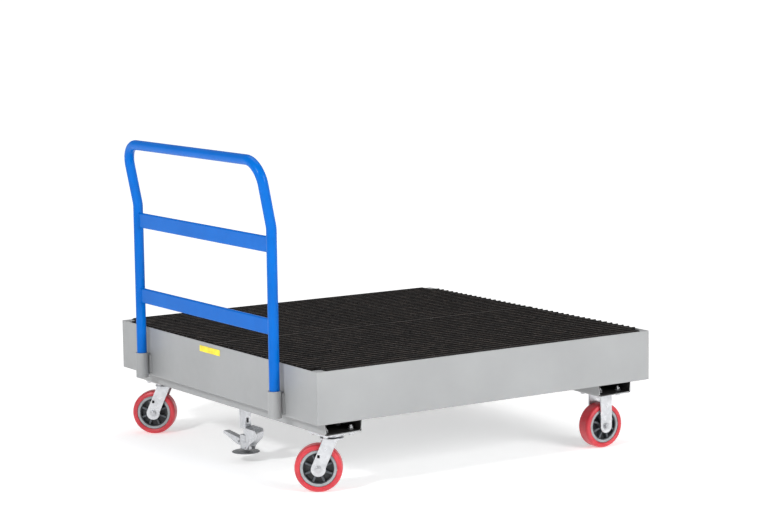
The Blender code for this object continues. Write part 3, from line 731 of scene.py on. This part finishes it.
def add_bar(bm, low, high, chamfer):
    """One bearing bar with its two long top edges and two bottom edges chamfered."""
    middle_point = (low + high) / 2
    size = high - low
    made = bmesh.ops.create_cube(bm, size=1.0)["verts"]
    bmesh.ops.scale(bm, vec=size, verts=made)
    bmesh.ops.translate(bm, vec=middle_point, verts=made)
    edges = {e for v in made for e in v.link_edges}
    bmesh.ops.bevel(
        bm, geom=list(edges), offset=chamfer, segments=1, profile=0.5, affect="EDGES"
    )


def add_twisted_rod(bm, x, y0, y1, z):
    """A square cross rod twisted along its length."""
    count = int((y1 - y0) / ROD_STEP)
    half = ROD_SIZE / math.sqrt(2)
    rings = []
    for i in range(count + 1):
        y = y0 + (y1 - y0) * i / count
        twist = 2 * math.pi * (y - y0) / ROD_TWIST_PITCH
        angles = [twist + math.pi / 2 * k for k in range(4)]
        rings.append(
            [bm.verts.new((x + half * math.cos(a), y, z + half * math.sin(a))) for a in angles]
        )
    for a, b in zip(rings, rings[1:]):
        for k in range(4):
            n = (k + 1) % 4
            bm.faces.new((a[k], a[n], b[n], b[k]))
    bm.faces.new(rings[0])
    bm.faces.new(rings[-1])


def make_grating(side, sign):
    """Bearing bars along X with free ends, held by twisted cross rods near their top edge."""
    node = f"grating_panel_{side}"
    low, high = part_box(node)
    inner = low.y if sign > 0 else high.y
    notch_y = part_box("tank_floor")[1].y - SHEET - CORNER_NOTCH

    def build(bm):
        for i in range(BARS_PER_PANEL):
            near = inner + sign * BAR_PITCH * i
            y0, y1 = sorted((near, near + sign * BAR_THICKNESS))
            outer = max(abs(y0), abs(y1))
            trim = CORNER_NOTCH - SHEET if outer > notch_y else 0.0
            add_bar(
                bm,
                Vector((low.x + trim, y0, low.z)),
                Vector((high.x - trim, y1, high.z)),
                0.0005,
            )
        bar_faces = len(bm.faces)
        centre_x = (low.x + high.x) / 2
        rod_z = high.z - ROD_SIZE / math.sqrt(2) - 0.0006
        for i in range(RODS_PER_PANEL):
            x = centre_x + (i - (RODS_PER_PANEL - 1) / 2) * ROD_PITCH
            add_twisted_rod(bm, x, low.y + 0.0002, high.y - 0.0002, rod_z)
        bm.faces.ensure_lookup_table()
        for face in bm.faces[bar_faces:]:
            face.material_index = 1

    bars = mesh_object(f"grating_bars_{side}", build)
    show(bars, f"grating_{side}", KIT["grate"], [node])
    # The cross rods take the lighter rod colour, a painted highlight.
    bars.data.materials.append(KIT["rod"])


# ---------------------------------------------------------------- bolsters and bolts


def make_bolster(end):
    """A channel in the tank's enamel; its inside faces are painted near-black as shade."""
    node = f"bolster_{end}"
    low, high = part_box(node)
    x = (low.x + high.x) / 2
    half = (high.x - low.x) / 2
    wall = BOLSTER_WALL
    outline = rounded(
        [
            ((-half, low.z), 0.0065),
            ((half, low.z), 0.0065),
            ((half, high.z), 0.0006),
            ((half - wall, high.z), 0.0006),
            ((half - wall, low.z + wall), 0.003),
            ((-half + wall, low.z + wall), 0.003),
            ((-half + wall, high.z), 0.0006),
            ((-half, high.z), 0.0006),
        ],
        6,
    )
    centre = (x, (low.y + high.y) / 2, 0)
    channel = plate(f"{node}_channel", outline, high.y - low.y, "XZ", centre, 0.0005)
    show(channel, "dolly", KIT["grey"], [node])
    # The inside faces of the channel take the near-black painted shade.
    channel.data.materials.append(KIT["channel_shade"])
    reach = half - wall / 2
    for polygon in channel.data.polygons:
        spot = polygon.center
        if abs(spot.x - x) < reach and spot.z > low.z + wall / 2:
            polygon.material_index = 1


def add_bolt(parts, x, y, plate_bottom, web_top, turn):
    """A bolt up through caster plate and bolster web, with washers and a nut on top."""
    tag = f"{len(parts)}"
    head_top = plate_bottom - GAP
    parts.append(hexagon("head" + tag, 0.0142, head_top - 0.0060, head_top, "Z", (x, y, 0), turn))
    nut_low = web_top + 0.0016
    parts.append(hexagon("nut" + tag, 0.0142, nut_low, nut_low + 0.0080, "Z", (x, y, 0), turn * 2))
    washer = soft_profile(
        [(0.0046, web_top), (0.0096, web_top), (0.0096, nut_low), (0.0046, nut_low)], 0.0003, 2
    )
    parts.append(lathe("washer" + tag, washer, 32, "Z", (x, y, 0)))
    tip = nut_low + 0.0080 + 0.0045
    shank = soft_profile(
        [(0.0, tip), (0.0046, tip, 0.001), (0.0046, nut_low + 0.004), (0.0, nut_low + 0.004)], 0.0003
    )
    parts.append(lathe("shank" + tag, shank, 24, "Z", (x, y, 0)))


def make_caster_bolts(name, node, bolster, spacing):
    low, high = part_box(node)
    centre = (low + high) / 2
    web_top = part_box(bolster)[0].z + BOLSTER_WALL + GAP
    plate_bottom = high.z - 0.0064
    parts = []
    for i, (sx, sy) in enumerate(((-1, -1), (1, -1), (1, 1), (-1, 1))):
        x = centre.x + sx * spacing[0]
        y = centre.y + sy * spacing[1]
        add_bolt(parts, x, y, plate_bottom, web_top, 0.4 + 0.7 * i)
    show(combine(f"{name}_bolts", *parts), "dolly", KIT["bolt"])


# ---------------------------------------------------------------- wheels


def tread_profile():
    bore, edge = 0.0580, 0.0235
    points = [
        (bore, edge, 0.0008),
        (0.0655, 1 * INCH, 0.0035),
        (0.0718, 0.0236, 0.0040),
        (WHEEL_RADIUS, 0.0158, 0.0060),
        (WHEEL_RADIUS, -0.0158, 0.0060),
        (0.0718, -0.0236, 0.0040),
        (0.0655, -1 * INCH, 0.0035),
        (bore, -edge, 0.0008),
    ]
    return soft_profile(points, steps=5)


def ring_profile(inner, outer, half, corner=0.0012):
    return soft_profile(
        [(inner, half), (outer, half), (outer, -half), (inner, -half)], corner, 4
    )


def make_wheel(node_name, body, roll_joint):
    """Tread, bright rim ring, a core in one plastic whose web and barrel are painted dark as shade in the
    pockets and whose ribs are painted lighter as a highlight, and a steel hub sleeve.
    """
    centre = joint_place(roll_joint)
    axis = Vector(JOINTS[roll_joint]["axis"])
    turn = Matrix.Rotation(math.atan2(-axis.x, axis.y), 4, "Z")
    place = Matrix.Translation(centre) @ turn
    tread = lathe(f"{node_name}_tyre", tread_profile(), 128, "Y")
    show(tread, body, KIT["red"], [f"{node_name}_tread"], place)

    rim = lathe(f"{node_name}_rim", ring_profile(0.0485, 0.0572, 0.0222), 96, "Y")
    show(rim, body, KIT["rim"], (), place)

    parts = [
        lathe("barrel", ring_profile(0.0452, 0.0484, 0.0200), 96, "Y"),
        lathe("web", ring_profile(0.0175, 0.0454, 0.0060, 0.0005), 96, "Y"),
    ]
    ribs = [lathe("boss", ring_profile(0.0112, 0.0190, 0.0246, 0.0015), 64, "Y")]
    for i in range(SPOKES):
        angle = 2 * math.pi * (i + 0.5) / SPOKES
        for side in (-1, 1):
            outline = [(0.0180, 0.0215), (0.0458, 0.0170), (0.0458, 0.0050), (0.0180, 0.0050)]
            rib = plate("rib", [(r, side * h) for r, h in outline], 0.0062, "XY", (0, 0, 0), 0.0006)
            rib.data.transform(Matrix.Rotation(angle, 4, "Y"))
            ribs.append(rib)
    # The web and barrel take the painted-shade colour, the ribs the painted-highlight colour.
    core = combine(f"{node_name}_centre", *parts)
    show(core, body, KIT["core"], [f"{node_name}_core"], place)
    spokes = combine(f"{node_name}_ribs", *ribs)
    show(spokes, body, KIT["rib"], (), place)

    sleeve = lathe(f"{node_name}_sleeve", ring_profile(0.0070, 0.0110, 0.0265, 0.0006), 48, "Y")
    show(sleeve, body, KIT["bolt"], (), place)


def make_axle(name, node, body, place):
    """Axle bolt with washers, a hexagon head one side and a lock nut the other."""
    end = FORK_OUTSIDE + GAP
    head_end = end + 0.010
    nut_end = -end - 0.0105
    rod = [(0.0, head_end), (AXLE_RADIUS, head_end), (AXLE_RADIUS, nut_end), (0.0, nut_end)]
    parts = [lathe("rod", soft_profile(rod, 0.0008), 32, "Y")]
    for sign in (-1, 1):
        a, b = sorted((sign * end, sign * (end + 0.0014)))
        washer = [(0.0065, b), (0.0125, b), (0.0125, a), (0.0065, a)]
        parts.append(lathe("washer", soft_profile(washer, 0.0003), 40, "Y"))
        a, b = sorted((sign * (end + 0.0014), sign * (end + 0.0080)))
        parts.append(hexagon("nut", 0.0172, a, b, "Y", (0, 0, 0), 0.35 * sign))
    show(combine(name, *parts), body, KIT["bolt"], [node], place)


# ---------------------------------------------------------------- casters


def leg_outline(rear, front, top, axle_x, steps=8):
    """A fork leg: wide at the top, tapering to a round end about the axle."""
    end = FORK_END_RADIUS
    low = WHEEL_RADIUS - end
    return rounded(
        [
            ((rear, top), 0),
            ((front, top), 0),
            ((axle_x + end, WHEEL_RADIUS + 0.004), 0.02),
            ((axle_x + end, low), end * 0.98),
            ((axle_x - end, low), end * 0.98),
            ((axle_x - end, WHEEL_RADIUS + 0.004), 0.02),
        ],
        steps,
    )


def make_leg(name, outline, sign, axle_x):
    leg = plate(name, outline, FORK_SHEET, "XZ", (0, sign * (FORK_INSIDE + FORK_SHEET / 2), 0), 0)
    hole = lathe("hole", [(0, 0.06), (0.0068, 0.06), (0.0068, -0.06), (0, -0.06)], 32, "Y")
    hole.data.transform(Matrix.Translation((axle_x, 0, WHEEL_RADIUS)))
    return carve(leg, [hole])


def make_swivel_caster(side):
    name = f"swivel_caster_{side}"
    hinge = joint_place(f"swivel_{side}")
    axle = joint_place(f"swivel_wheel_{side}_roll")
    trail = Vector((axle.x - hinge.x, axle.y - hinge.y))
    place = Matrix.Translation((hinge.x, hinge.y, 0)) @ Matrix.Rotation(
        math.atan2(trail.y, trail.x), 4, "Z"
    )
    offset = trail.length
    yoke = f"swivel_yoke_{side}"
    fork_node = f"{name}_fork"
    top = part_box(fork_node)[1].z
    base = top - FORK_SHEET

    crown_outline = rounded(
        [
            ((-0.0260, -FORK_OUTSIDE), 0.014),
            ((0.0300, -FORK_OUTSIDE), 0.010),
            ((0.0300, FORK_OUTSIDE), 0.010),
            ((-0.0260, FORK_OUTSIDE), 0.014),
        ],
        6,
    )
    crown = plate("crown", crown_outline, FORK_SHEET - 0.001, "XY", (0, 0, (top + base) / 2 - 0.0004), 0)
    dish = lathe(
        "dish",
        soft_profile(
            [(0.0, top), (0.0300, top), (CROWN_RADIUS, top - 0.0012), (CROWN_RADIUS, base), (0.0, base)],
            0.0008,
        ),
        64,
    )
    legs = [
        make_leg(f"leg{sign}", leg_outline(*SWIVEL_LEG_TOP, top - 0.0010, offset), sign, offset)
        for sign in (-1, 1)
    ]
    fork = carve(crown, [dish, *legs], "UNION")
    window = plate(
        "window",
        rounded(
            [
                ((0.0365, 0.110), 0.002),
                ((0.0450, 0.110), 0.002),
                ((0.0450, 0.120), 0.002),
                ((0.0365, 0.120), 0.002),
            ],
            3,
        ),
        0.2,
        "XZ",
        (0, 0, 0),
        0,
    )
    king = lathe("king", [(0, 0.19), (0.0086, 0.19), (0.0086, 0.15), (0, 0.15)], 32)
    carve(fork, [window, king])
    soften(fork, 0.0009, 2, 40)
    fork.name = f"{name}_yoke"
    show(fork, yoke, KIT["zinc"], [fork_node], place)
    axle_place = place @ Matrix.Translation((offset, 0, WHEEL_RADIUS))
    make_axle(f"{name}_axle_bolt", f"{name}_axle", yoke, axle_place)
    make_wheel(f"{name}_wheel", f"swivel_wheel_{side}", f"swivel_wheel_{side}_roll")
    make_swivel_head(name, hinge)


def make_swivel_head(name, hinge):
    """Top plate with rounded corners, ball race and kingpin nut."""
    low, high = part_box(f"{name}_plate")
    corners = [(low.x, low.y), (high.x, low.y), (high.x, high.y), (low.x, high.y)]
    top_plate = plate(
        f"{name}_top_plate",
        rounded([(corner, 0.008) for corner in corners], 5),
        high.z - low.z,
        "XY",
        (0, 0, (low.z + high.z) / 2),
        0.0008,
    )
    show(top_plate, "dolly", KIT["zinc"], [f"{name}_plate"])
    race_low, race_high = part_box(f"{name}_race")
    top, low_z = race_high.z, race_low.z
    race = lathe(
        f"{name}_ball_race",
        soft_profile(
            [
                (0.0092, top, 0.0003),
                (0.0400, top, 0.0010),
                (0.0400, top - 0.0036, 0.0012),
                (0.0372, top - 0.0046, 0.0008),
                (0.0378, top - 0.0062, 0.0008),
                (0.0350, low_z, 0.0014),
                (0.0230, low_z, 0.0010),
                (0.0092, low_z + 0.004, 0.0003),
            ]
        ),
        96,
        "Z",
        (hinge.x, hinge.y, 0),
    )
    show(race, "dolly", KIT["zinc"], [f"{name}_race"])
    pin_low, pin_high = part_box(f"{name}_kingpin")
    nut_top = pin_low.z + 0.0070
    foot = pin_low.z + 0.0004
    profile = [(0, pin_high.z), (0.0079, pin_high.z), (0.0079, foot), (0, foot)]
    pin = lathe("pin", soft_profile(profile), 32)
    nut = hexagon("nut", 0.0214, pin_low.z + 0.0006, nut_top, "Z")
    show(
        combine(f"{name}_kingpin_nut", pin, nut),
        "dolly",
        KIT["bolt"],
        [f"{name}_kingpin"],
        Matrix.Translation((hinge.x, hinge.y, 0)),
    )


def make_rigid_caster(side):
    name = f"rigid_caster_{side}"
    node = f"{name}_fork"
    axle = joint_place(f"rigid_wheel_{side}_roll")
    low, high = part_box(node)
    half_x = (high.x - low.x) / 2
    half_y = (high.y - low.y) / 2
    corners = [(-half_x, -half_y), (half_x, -half_y), (half_x, half_y), (-half_x, half_y)]
    thickness = 0.0064
    body = plate(
        "plate",
        rounded([(corner, 0.008) for corner in corners], 5),
        thickness,
        "XY",
        (0, 0, high.z - thickness / 2),
        0,
    )
    legs = [
        make_leg(
            f"leg{sign}",
            leg_outline(-FORK_END_RADIUS, FORK_END_RADIUS, high.z - thickness + 0.002, 0),
            sign,
            0,
        )
        for sign in (-1, 1)
    ]
    carve(body, legs, "UNION")
    soften(body, 0.0009, 2, 40)
    body.name = f"{name}_frame"
    place = Matrix.Translation((axle.x, axle.y, 0))
    show(body, "dolly", KIT["zinc"], [node], place)
    axle_place = place @ Matrix.Translation((0, 0, WHEEL_RADIUS))
    make_axle(f"{name}_axle_bolt", f"{name}_axle", "dolly", axle_place)
    make_wheel(f"{name}_wheel", f"rigid_wheel_{side}", f"rigid_wheel_{side}_roll")


# ---------------------------------------------------------------- handle


def handle_path():
    low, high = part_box("handle_tube")
    foot_x = high.x - TUBE_RADIUS
    lean_x = low.x + TUBE_RADIUS
    y = high.y - TUBE_RADIUS
    top = high.z - TUBE_RADIUS
    half = [
        ((foot_x, y, low.z), 0),
        ((foot_x, y, BEND_HEIGHT), BEND_RADIUS),
        ((lean_x, y, top), CORNER_RADIUS),
    ]
    other = [((px, -py, pz), radius) for (px, py, pz), radius in reversed(half)]
    return rounded(half + other, steps=14, cyclic=False)


def make_handle():
    """Bent tube, and two flat crossbars butt-welded between its legs."""
    path = handle_path()
    tube = sweep("handle_frame", path, TUBE_RADIUS, 48, TUBE_RADIUS - TUBE_WALL)
    show(tube, "push_handle", KIT["blue"], ["handle_tube"])
    foot_x = path[0].x
    y = abs(path[0].y)
    for level in ("upper", "lower"):
        node = f"handle_crossbar_{level}"
        low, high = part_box(node)
        corner = (high.x - low.x) * 0.42
        outline = rounded(
            [
                ((low.x, low.z), corner),
                ((high.x, low.z), corner),
                ((high.x, high.z), corner),
                ((low.x, high.z), corner),
            ],
            6,
        )
        bar = plate(f"{node}_flat_tube", outline, high.y - low.y, "XZ", (0, 0, 0), 0.0012, 3)
        show(bar, "push_handle", KIT["blue"], [node])
        for side, sign in (("right", -1), ("left", 1)):
            for face, x in (("outer", low.x), ("inner", high.x)):
                reach = math.sqrt(TUBE_RADIUS**2 - (x - foot_x) ** 2)
                weld_y = sign * (y - reach - 0.0008)
                make_weld(
                    f"handle_weld_{level}_{side}_{face}",
                    [Vector((x, weld_y, low.z + 0.004)), Vector((x, weld_y, high.z - 0.004))],
                    0.0024,
                    "push_handle",
                    KIT["blue"],
                )


def make_sockets():
    """Cups for the handle's legs, each on a bracket that is welded to the end wall."""
    for side in ("right", "left"):
        node = f"handle_socket_{side}"
        low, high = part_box(node)
        centre = (low + high) / 2
        radius = (high.x - low.x) / 2
        bore = TUBE_RADIUS + 0.0008
        cup = lathe(
            f"{node}_cup",
            soft_profile(
                [
                    (0, low.z),
                    (radius, low.z, 0.0010),
                    (radius, high.z, 0.0008),
                    (bore, high.z, 0.0008),
                    (bore, low.z + 0.004, 0.0004),
                    (0, low.z + 0.004),
                ]
            ),
            64,
            "Z",
            (centre.x, centre.y, 0),
        )
        show(cup, "dolly", KIT["grey"], [node])
        bracket = f"socket_bracket_{side}"
        b_low, b_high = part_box(bracket)
        spacer = block(f"{bracket}_spacer", b_low, b_high, 0.0010, 3)
        show(spacer, "dolly", KIT["grey"], [bracket])
        for sign in (-1, 1):
            y = b_low.y if sign < 0 else b_high.y
            x = b_high.x - 0.0012
            make_weld(
                f"{bracket}_weld_{'a' if sign < 0 else 'b'}",
                [Vector((x, y, b_low.z + 0.004)), Vector((x, y, b_high.z - 0.004))],
                0.0020,
                "dolly",
            )


def make_label():
    """A plain yellow film without wording."""
    low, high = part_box("face_label")
    y = (low.y + high.y) / 2
    z = (low.z + high.z) / 2
    x = (low.x + high.x) / 2
    half_y = (high.y - low.y) / 2
    half_z = (high.z - low.z) / 2

    outline = rounded(
        [
            ((y - half_y, z - half_z), 0.0015),
            ((y + half_y, z - half_z), 0.0015),
            ((y + half_y, z + half_z), 0.0015),
            ((y - half_y, z + half_z), 0.0015),
        ],
        4,
    )
    film = plate("label_film", outline, high.x - low.x, "YZ", (x, 0, 0), 0.0002, 1)
    show(film, "dolly", KIT["label"], ["face_label"])


# ---------------------------------------------------------------- floor lock


def make_lock_body(centre):
    node = "lock_housing"
    low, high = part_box(node)
    at = Matrix.Translation((centre.x, centre.y, 0))
    half_x, half_y = (high.x - low.x) / 2, (high.y - low.y) / 2
    corners = [(-half_x, -half_y), (half_x, -half_y), (half_x, half_y), (-half_x, half_y)]
    base = plate("base", rounded([(c, 0.006) for c in corners], 4), 0.005, "XY", (0, 0, high.z - 0.0025), 0)
    guide = block("guide", (-0.0115, -0.0186, 0.110), (0.0115, 0.0186, high.z - 0.004), 0.0)
    strap_outline = rounded(
        [
            ((-0.0095, 0.128), 0),
            ((-0.0095, low.z), 0.0055),
            ((0.0025, low.z), 0.0055),
            ((0.0025, 0.128), 0),
        ],
        6,
    )
    strap = plate("strap", strap_outline, 0.003, "XZ", (0, -0.0196, 0), 0)
    carve(base, [guide, strap], "UNION")
    cavity = lathe("cavity", [(0, 0.2), (0.0098, 0.2), (0.0098, 0.114), (0, 0.114)], 40)
    stem = lathe("stem", [(0, 0.13), (0.0062, 0.13), (0.0062, 0.1), (0, 0.1)], 32)
    slot = block("slot", (-0.0065, -0.030, 0.1326), (0.0022, -0.008, 0.1480), 0.0)
    carve(base, [cavity, stem, slot])
    soften(base, 0.0008, 2, 40)
    base.name = "lock_guide"
    show(base, "dolly", KIT["zinc"], [node], at)


def make_lock_spring(centre):
    node = "lock_spring"
    low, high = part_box(node)
    wire_radius = 0.0009
    turns, per_turn = 5, 28
    z0, z1 = low.z + wire_radius, high.z - wire_radius
    points = []
    for i in range(turns * per_turn + 1):
        angle = 2 * math.pi * i / per_turn
        height = z0 + (z1 - z0) * i / (turns * per_turn)
        points.append(
            Vector((centre.x + 0.0076 * math.cos(angle), centre.y + 0.0076 * math.sin(angle), height))
        )
    coil = sweep("lock_coil", points, wire_radius, 10)
    show(coil, "dolly", KIT["bolt"], [node])


def make_lock_foot(centre):
    """Plunger, pad, rubber sole and the two pivot pins."""
    at = Matrix.Translation((centre.x, centre.y, 0))
    low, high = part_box("lock_plunger")
    pad_low, pad_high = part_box("lock_pad")
    stem = lathe(
        "stem",
        soft_profile(
            [
                (0, high.z),
                (0.0088, high.z),
                (0.0088, high.z - 0.006),
                (0.0055, high.z - 0.006),
                (0.0055, low.z),
                (0, low.z),
            ]
        ),
        40,
    )
    head = block("head", (-0.0110, -0.0150, 0.0415), (0.0110, 0.0186, 0.0890), 0.0)
    ear = block("ear", (-0.0040, -0.0278, 0.0435), (0.0060, -0.0080, 0.0565), 0.0)
    ear_b = block("ear_b", (-0.0040, 0.0180, 0.0550), (0.0060, 0.0370, 0.0690), 0.0)
    carve(head, [stem, ear, ear_b], "UNION")
    soften(head, 0.0012, 3, 40)
    head.name = "lock_crosshead"
    show(head, "lock_foot", KIT["zinc"], ["lock_plunger"], at)
    top = pad_high.z
    radius = (pad_high.x - pad_low.x) / 2
    pad = lathe(
        "lock_pad_dish",
        soft_profile(
            [
                (0, top),
                (0.0180, top, 0.004),
                (0.0420, top - 0.0020, 0.006),
                (radius, top - 0.0034, 0.0008),
                (radius, top - 0.0054, 0.0008),
                (0.0440, top - 0.0054, 0.0008),
                (0.0400, top - 0.0036, 0.002),
                (0, top - 0.0036),
            ]
        ),
        96,
    )
    show(pad, "lock_foot", KIT["steel"], ["lock_pad"], at)
    sole_low, sole_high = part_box("lock_sole")
    sole = lathe(
        "lock_rubber_sole",
        soft_profile(
            [
                (0, sole_high.z),
                (0.0390, sole_high.z, 0.0004),
                (0.0410, sole_low.z, 0.0008),
                (0.0360, sole_low.z, 0.0004),
                (0.0350, sole_low.z + 0.0008, 0.0004),
                (0, sole_low.z + 0.0008),
            ]
        ),
        96,
    )
    show(sole, "lock_foot", KIT["rubber"], ["lock_sole"], at)
    for node in ("lock_pedal_pin", "lock_release_pin"):
        p_low, p_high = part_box(node)
        spot = (p_low + p_high) / 2
        radius = (p_high.z - p_low.z) / 2
        half = (p_high.x - p_low.x) / 2
        pin = lathe(
            f"{node}_rivet",
            soft_profile([(0, half), (radius, half, 0.0008), (radius, -half, 0.0008), (0, -half)]),
            32,
            "X",
            spot,
        )
        show(pin, "lock_foot", KIT["bolt"], [node])


def lean_tread(obj):
    """Slope the tread down towards the operator, before the outline is stood upright."""
    for vertex in obj.data.vertices:
        share = min(max((vertex.co.y - 0.060) / 0.05, 0.0), 1.0)
        vertex.co.y += TREAD_TILT * share * vertex.co.z
    obj.data.transform(PLANES["YZ"])
    return obj


def make_lock_pedal(centre):
    """Hooked pedal: a pressed box with a flat tread, a curved skirt and two cheeks to the pivot."""
    at = Matrix.Translation((centre.x, centre.y, 0))
    top = 0.1195
    under = top - PEDAL_SHEET
    hinge = joint_place("lock_pedal_hinge")
    y, z = hinge.y - centre.y, hinge.z
    outer = [
        ((-0.0240, top), 0.0015),
        ((-0.0945, top), 0.011),
        ((-0.0915, 0.0910), 0.018),
        ((-0.0490, 0.0640), 0.020),
        ((y - 0.0075, z - 0.0075), 0.006),
        ((y + 0.0065, z - 0.0075), 0.006),
        ((y + 0.0065, z + 0.0085), 0.006),
        ((-0.0240, 0.0700), 0.006),
    ]
    inner = [
        ((0.0100, under), 0),
        ((-0.0880, under), 0.003),
        ((-0.0905, 0.1100), 0.006),
        ((-0.0860, 0.0925), 0.010),
        ((-0.0480, 0.0690), 0.010),
        ((-0.0400, 0.0500), 0.004),
        ((-0.0400, 0.0300), 0),
        ((0.0100, 0.0300), 0),
    ]
    pedal = lean_tread(plate("pedal", rounded(outer, 10), PEDAL_WIDTH, "XY", (0, 0, 0), 0))
    hollow_width = PEDAL_WIDTH - 2 * PEDAL_SHEET
    hollow = lean_tread(plate("hollow", rounded(inner, 6), hollow_width, "XY", (0, 0, 0), 0))
    hole = lathe("hole", [(0, 0.03), (0.0034, 0.03), (0.0034, -0.03), (0, -0.03)], 32, "X", (0, y, z))
    carve(pedal, [hollow, hole])
    soften(pedal, 0.0010, 3, 40)
    pedal.name = "lock_pedal_pressing"
    show(pedal, "lock_tread", KIT["zinc"], ["lock_pedal"], at)


def make_lock_release(centre):
    """Release lever: a tapered channel, open below, that straddles its ear."""
    at = Matrix.Translation((centre.x, centre.y, 0))
    outline = rounded(
        [
            ((0.0220, 0.0510), 0.004),
            ((0.0220, 0.0740), 0.004),
            ((0.1310, 0.0830), 0.003),
            ((0.1340, 0.0750), 0.003),
            ((0.0400, 0.0510), 0),
        ],
        6,
    )
    hollow = [(0.0100, 0.0400), (0.0100, 0.0712), (0.1270, 0.0802), (0.1270, 0.0400)]
    lever = plate("lever", outline, 0.0220, "YZ", (0.001, 0, 0), 0)
    tool = plate("hollow", hollow, 0.0170, "YZ", (0.001, 0, 0), 0)
    carve(lever, [tool])
    soften(lever, 0.0009, 2, 40)
    lever.name = "lock_release_channel"
    show(lever, "lock_release", KIT["zinc"], ["lock_release_lever"], at)


def make_floor_lock():
    centre = middle("lock_pad")
    make_lock_body(centre)
    make_lock_spring(centre)
    make_lock_foot(centre)
    make_lock_pedal(centre)
    make_lock_release(centre)


# ---------------------------------------------------------------- studio


def make_floor():
    """White floor that glows faintly, less so near the dolly."""

    def build(bm):
        bmesh.ops.create_grid(bm, x_segments=1, y_segments=1, size=FLOOR_HALF)

    floor = mesh_object("studio_floor", build)
    material = new_material("studio_white", (0.92, 0.92, 0.92), 0.75)
    wave = remap(material, noise(material, 1.2, 2.0), 0.3, 0.7, 0.70, 0.80)
    paint(material, roughness=wave)
    place = add_node(material, "ShaderNodeTexCoord").outputs["Object"]
    reach = add_node(material, "ShaderNodeVectorMath", operation="LENGTH")
    wire(material, place, reach.inputs[0])
    glow = remap(material, reach.outputs["Value"], *GLOW_REACH, *GLOW_STRENGTH)
    wire(material, glow, material.node_tree.nodes["Principled BSDF"].inputs["Emission Strength"])
    floor.data.materials.append(material)


def make_light(name, energy, place, target, size):
    data = bpy.data.lights.new(name, "AREA")
    data.energy = energy
    data.shape = "RECTANGLE"
    data.size = size[0]
    data.size_y = size[1]
    obj = bpy.data.objects.new(name, data)
    obj.location = place
    obj.rotation_euler = (Vector(target) - Vector(place)).to_track_quat("-Z", "Y").to_euler()
    bpy.context.scene.collection.objects.link(obj)


def make_lights():
    """Soft lights and a sky that is white at the horizon and dimmer overhead."""
    bpy.context.scene.view_settings.view_transform = "Standard"
    for light in LIGHTS:
        make_light(*light)
    world = bpy.data.worlds.new("studio")
    world.use_nodes = True
    background = world.node_tree.nodes["Background"]
    background.inputs["Color"].default_value = (1.0, 1.0, 1.0, 1.0)
    nodes = world.node_tree.nodes
    split = nodes.new("ShaderNodeSeparateXYZ")
    fade = nodes.new("ShaderNodeMapRange")
    fade.inputs["From Min"].default_value, fade.inputs["From Max"].default_value = SKY_RISE
    fade.inputs["To Min"].default_value, fade.inputs["To Max"].default_value = SKY_STRENGTH
    link = world.node_tree.links.new
    link(nodes.new("ShaderNodeTexCoord").outputs["Generated"], split.inputs["Vector"])
    link(split.outputs["Z"], fade.inputs["Value"])
    link(fade.outputs["Result"], background.inputs["Strength"])
    bpy.context.scene.world = world


def make_camera():
    """Look at the near corner of the handle end, with the lens and tilt set above."""
    data = bpy.data.cameras.new("camera")
    data.sensor_width = SENSOR
    data.lens = FOCAL_WIDTHS * SENSOR
    data.shift_x, data.shift_y = CAMERA_SHIFT
    data.clip_end = CLIP_END
    forward = Vector(
        (
            math.sin(CAMERA_YAW) * math.cos(CAMERA_PITCH),
            math.cos(CAMERA_YAW) * math.cos(CAMERA_PITCH),
            math.sin(CAMERA_PITCH),
        )
    )
    right = Vector((math.cos(CAMERA_YAW), -math.sin(CAMERA_YAW), 0))
    up = right.cross(forward)
    tilted_right = right * math.cos(CAMERA_ROLL) + up * math.sin(CAMERA_ROLL)
    tilted_up = up * math.cos(CAMERA_ROLL) - right * math.sin(CAMERA_ROLL)
    axes = Matrix((tilted_right, tilted_up, -forward)).transposed().to_4x4()
    deck_centre = middle("tank_floor")
    obj = bpy.data.objects.new("camera", data)
    spot = Vector((deck_centre.x, 0, 0)) + CAMERA_FROM_DECK
    obj.matrix_world = Matrix.Translation(spot) @ axes
    bpy.context.scene.collection.objects.link(obj)
    bpy.context.scene.camera = obj


def main():
    make_camera()
    make_pan()
    make_corner_plates()
    make_inside_steel()
    make_grating("right", -1)
    make_grating("left", 1)
    for end in ("handle_end", "far_end"):
        make_bolster(end)
    for side in ("right", "left"):
        make_swivel_caster(side)
        make_rigid_caster(side)
        make_caster_bolts(
            f"swivel_caster_{side}", f"swivel_caster_{side}_plate", "bolster_handle_end", (0.0460, 0.0381)
        )
        make_caster_bolts(
            f"rigid_caster_{side}", f"rigid_caster_{side}_fork", "bolster_far_end", (0.0381, 0.0460)
        )
    make_handle()
    make_sockets()
    make_label()
    make_floor_lock()
    make_floor()
    make_lights()


main()
